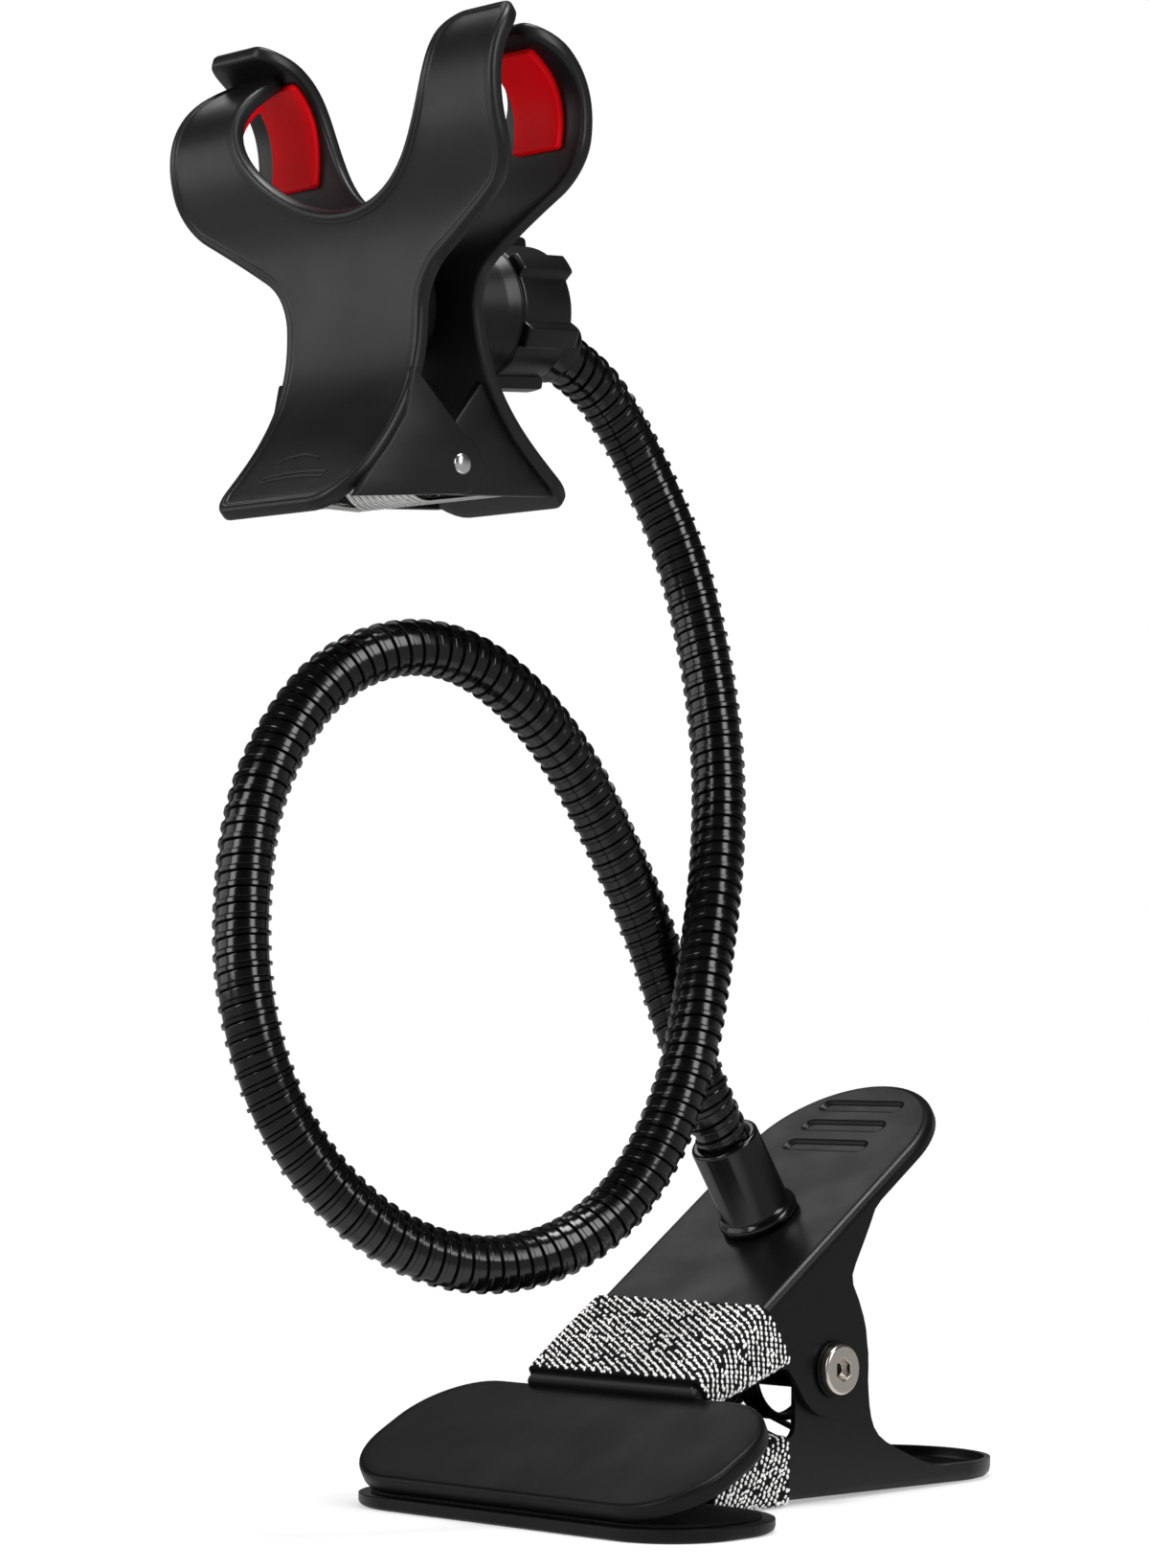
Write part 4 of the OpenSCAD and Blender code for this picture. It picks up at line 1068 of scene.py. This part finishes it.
def ear(bm, middle):
    """A plate's ear on the pin, with its middle at the given x."""
    outline = ([(27.5, -CLIP_EAR_R - 0.4)] + arc((0, 0), CLIP_EAR_R, 270, 105, 20)
               + [(11, 18.5), (13.8, 9.4), (18.8, 3.4), (24.4, -2)])
    slab(bm, outline, middle - CLIP_EAR_T / 2, middle + CLIP_EAR_T / 2)


def clip_plate(name, place, body, node, ear_at, high_z, low_z, high_notch_x):
    """One plate: its section is a raised bead round the rim and a wall PLATE_T deep."""
    b, w, t = BEAD_H, BEAD_W, PLATE_T
    section = [(w + 0.5, 0.0), (w + 0.1, 0.04), (w - 0.15, 0.25), (w - 0.4, b - 0.25), (w - 0.75, b - 0.04),
               (1.2, b + 0.03), (0.75, b - 0.04), (0.35, b - 0.25), (0.1, b - 0.6), (0.0, b - 1.1),
               (0.0, 0.9 - t), (0.1, 0.45 - t), (0.35, 0.15 - t), (0.9, -t)]
    bm = bmesh.new()
    moulding(bm, plate_outline(high_z, low_z, high_notch_x), section, clip_face, (2.6, 1.7))
    for s in (-1, 1):
        ear(bm, s * (ear_at - CLIP_EAR_T / 2))
    if node == "front_plate":
        slab(bm, [(8, 18.6), (1.6, 18.2), (3.4, 15.2), (9.6, 14)], 7 - WAIST_W, WAIST_W - 7)
        # slender crescents pressed up out of the lip: middle, half width, length up the face and bow
        for x0, half, q0, bow in ((3.0, 6.0, 14.5, 1.6), (1.0, 9.0, 9.5, 0.8), (1.0, 9.0, 8.3, 0.8)):
            shares = [k / 8 - 1 for k in range(17)]
            join(bm, wire([clip_face(x0 + half * f, q0 - bow * f * f, -0.12) for f in shares], 0.3, 2))
    piece(name, bm, place, body, clip_plastic, [node], 50)


def red_grip(node, place, body, high):
    """A silicone pad on the inside of a high or a low arm."""
    x, z, half_w, half_h = (12.5 - ARM_W, 70, 6.6, 11.5) if high else (ARM_W - 11.3, 67, 6.0, 10.6)
    corners = rounded_box(x - half_w, x + half_w, z - half_h, z + half_h, 0.7, 4)
    outline = dense([unroll(px, pz) for px, pz in corners], 1.2)
    top = -PLATE_T - RED_T
    section = [(0.5, top), (0.2, top + 0.06), (0.0, top + 0.25), (0.0, -PLATE_T - 0.02)]
    bm = moulding(bmesh.new(), outline, section, clip_face, (2, 2))
    piece(node + "_moulding", bm, place, body, red_rubber, [node], 50)


clip_plate("rear_plate_moulding", ON_CLIP, "clip_rear", "rear_plate", EAR_X - CLIP_EAR_T - GAP,
           HIGH_Z + 1.1, LOW_Z - 0.8, NOTCH_R)
clip_plate("front_plate_moulding", ON_FRONT, "clip_front", "front_plate", EAR_X,
           HIGH_Z - 2.1, LOW_Z + 1.0, NOTCH_R + 1.6)
red_grip("rear_left_grip", ON_CLIP, "clip_rear", True)
red_grip("rear_right_grip", ON_CLIP, "clip_rear", False)
red_grip("front_right_grip", ON_FRONT, "clip_front", True)
red_grip("front_left_grip", ON_FRONT, "clip_front", False)


def clip_pin_and_spring():
    """A pin with domed heads, and its coil. The coil and its rear leg stay with the rear plate, and the
    front leg goes with the front plate."""
    head = [(0, 0.9), (0.9, 0.85), (1.6, 0.65), (2.0, 0.3), (2.1, 0.05), (PIN_D / 2, 0.02)]
    half = [(r, -EAR_X - z) for r, z in head]
    profile = half + [(r, -z) for r, z in reversed(half)]
    piece("clip_pin_turned", lathe(profile, 40), ON_CLIP @ turn(90, "Y"), "clip_rear",
          bright_steel, ["clip_pin"], 60)
    r, wire_r = 6.2, 0.7
    leg_y, leg_z = EAR_X + 1.1, -4.6
    rear = coil(-9, 1.8, 10, r, -90) + [Vector((9, leg_y, leg_z))]
    front = [Vector((-10.5, -leg_y, leg_z))] + coil(-10.5, 0, 0.25, r, -90)
    piece("clip_spring_wire", wire(rear, wire_r), ON_CLIP, "clip_rear", bright_steel,
          ["clip_spring"], 60)
    piece("clip_spring_leg", wire(front, wire_r), ON_CLIP, "clip_front", bright_steel, (), 60)


clip_pin_and_spring()


# Studio: a pale floor, a white surround and broad soft lights, in metres

# name, place, size and power in watts of each lamp
LAMPS = (("key", (-0.85, -0.85, 0.42), (1.0, 0.7), 3.2),
         ("side", (1.0, 0.1, 0.75), (0.4, 0.8), 6.8),
         ("top", (0.1, 0.1, 1.5), (0.5, 0.6), 13.0),
         ("rear strip", (-0.74, 0.3, 0.9), (0.3, 0.3), 0.5),
         ("front strip", (-0.05, -1.15, 0.7), (0.45, 0.9), 7.5))
# the point that the lamps face
OBJECT_MIDDLE = Vector((0, 0, 0.13))


def surround():
    """White to the eye; what gloss shows is pale low down and falls off overhead, where a studio is dark."""
    world = bpy.data.worlds.new("white surround")
    bpy.context.scene.world = world
    world.use_nodes = True
    tree = world.node_tree
    tree.nodes.clear()
    math = calculator(tree)
    plain, horizon, overhead = 0.45, 0.38, 0.05
    rays = add(tree, "ShaderNodeLightPath").outputs
    ray = add(tree, "ShaderNodeTexCoord").outputs["Generated"]
    height = add(tree, "ShaderNodeSeparateXYZ", {0: ray}).outputs[2]
    shown = ramp(tree, height, 0.02, 0.4, horizon, overhead, "SMOOTHSTEP")
    seen = math("MAXIMUM", rays["Is Camera Ray"], rays["Is Transmission Ray"])
    level = math("MULTIPLY_ADD", rays["Is Glossy Ray"], math("SUBTRACT", shown, plain),
                 math("MULTIPLY_ADD", seen, 1 - plain, plain))
    white = add(tree, "ShaderNodeBackground", {"Color": (1, 1, 1, 1), "Strength": level})
    add(tree, "ShaderNodeOutputWorld", {"Surface": white.outputs[0]})


def sweep_material():
    """White paper. Away from the object it is plain white to the eye, and near it the shadow stays."""
    made = bpy.data.materials.new("white sweep")
    made.use_nodes = True
    tree = made.node_tree
    math = calculator(tree)
    shader = tree.nodes["Principled BSDF"]
    shader.inputs["Base Color"].default_value = colour("#fdfdfd")
    shader.inputs["Roughness"].default_value = 0.9
    shader.inputs["Specular IOR Level"].default_value = 0.2
    rays = add(tree, "ShaderNodeLightPath").outputs
    seen = math("MAXIMUM", math("MAXIMUM", rays["Is Camera Ray"], rays["Is Glossy Ray"]),
                rays["Is Transmission Ray"])
    place = add(tree, "ShaderNodeTexCoord").outputs["Object"]
    reach = add(tree, "ShaderNodeVectorMath", {0: place}, operation="LENGTH").outputs["Value"]
    away = ramp(tree, reach, 0.06, 0.2, 0.4, 1.0, "SMOOTHSTEP")
    dimmer = math("MULTIPLY_ADD", rays["Is Glossy Ray"], -0.58, 1.0)
    glow = add(tree, "ShaderNodeEmission", {"Color": (1, 1, 1, 1), "Strength": dimmer}).outputs[0]
    mix = add(tree, "ShaderNodeMixShader", {0: math("MULTIPLY", seen, away), 1: shader.outputs[0], 2: glow})
    tree.links.new(mix.outputs[0], tree.nodes["Material Output"].inputs["Surface"])
    return made


def sweep():
    bm = bmesh.new()
    bmesh.ops.create_grid(bm, x_segments=4, y_segments=4, size=8)
    mesh = closed("floor", bm)
    mesh.materials.append(sweep_material())
    floor = new_object("floor", mesh)


def lamps():
    for name, at, size, power in LAMPS:
        lamp = bpy.data.lights.new(name, "AREA")
        lamp.shape, lamp.size, lamp.size_y, lamp.energy = "RECTANGLE", *size, power
        obj = new_object(name, lamp)
        obj.location = at
        obj.rotation_euler = (OBJECT_MIDDLE - Vector(at)).to_track_quat("-Z", "Y").to_euler()


def camera():
    """The photo's view: from the front right, a little above the clamp and looking slightly up."""
    data = bpy.data.cameras.new("camera")
    data.lens, data.sensor_width = 87.97, 36
    view = new_object("camera", data)
    right, up = Vector((0.712, 0.702, 0)).normalized(), Vector((0.0441, -0.0447, 0.998)).normalized()
    axes = Matrix((right, up, right.cross(up))).transposed().to_4x4()
    view.matrix_world = Matrix.Translation((0.5198, -0.5236, 0.0936)) @ axes
    bpy.context.scene.camera = view


bpy.context.scene.view_settings.view_transform = "Standard"
surround()
sweep()
lamps()
camera()
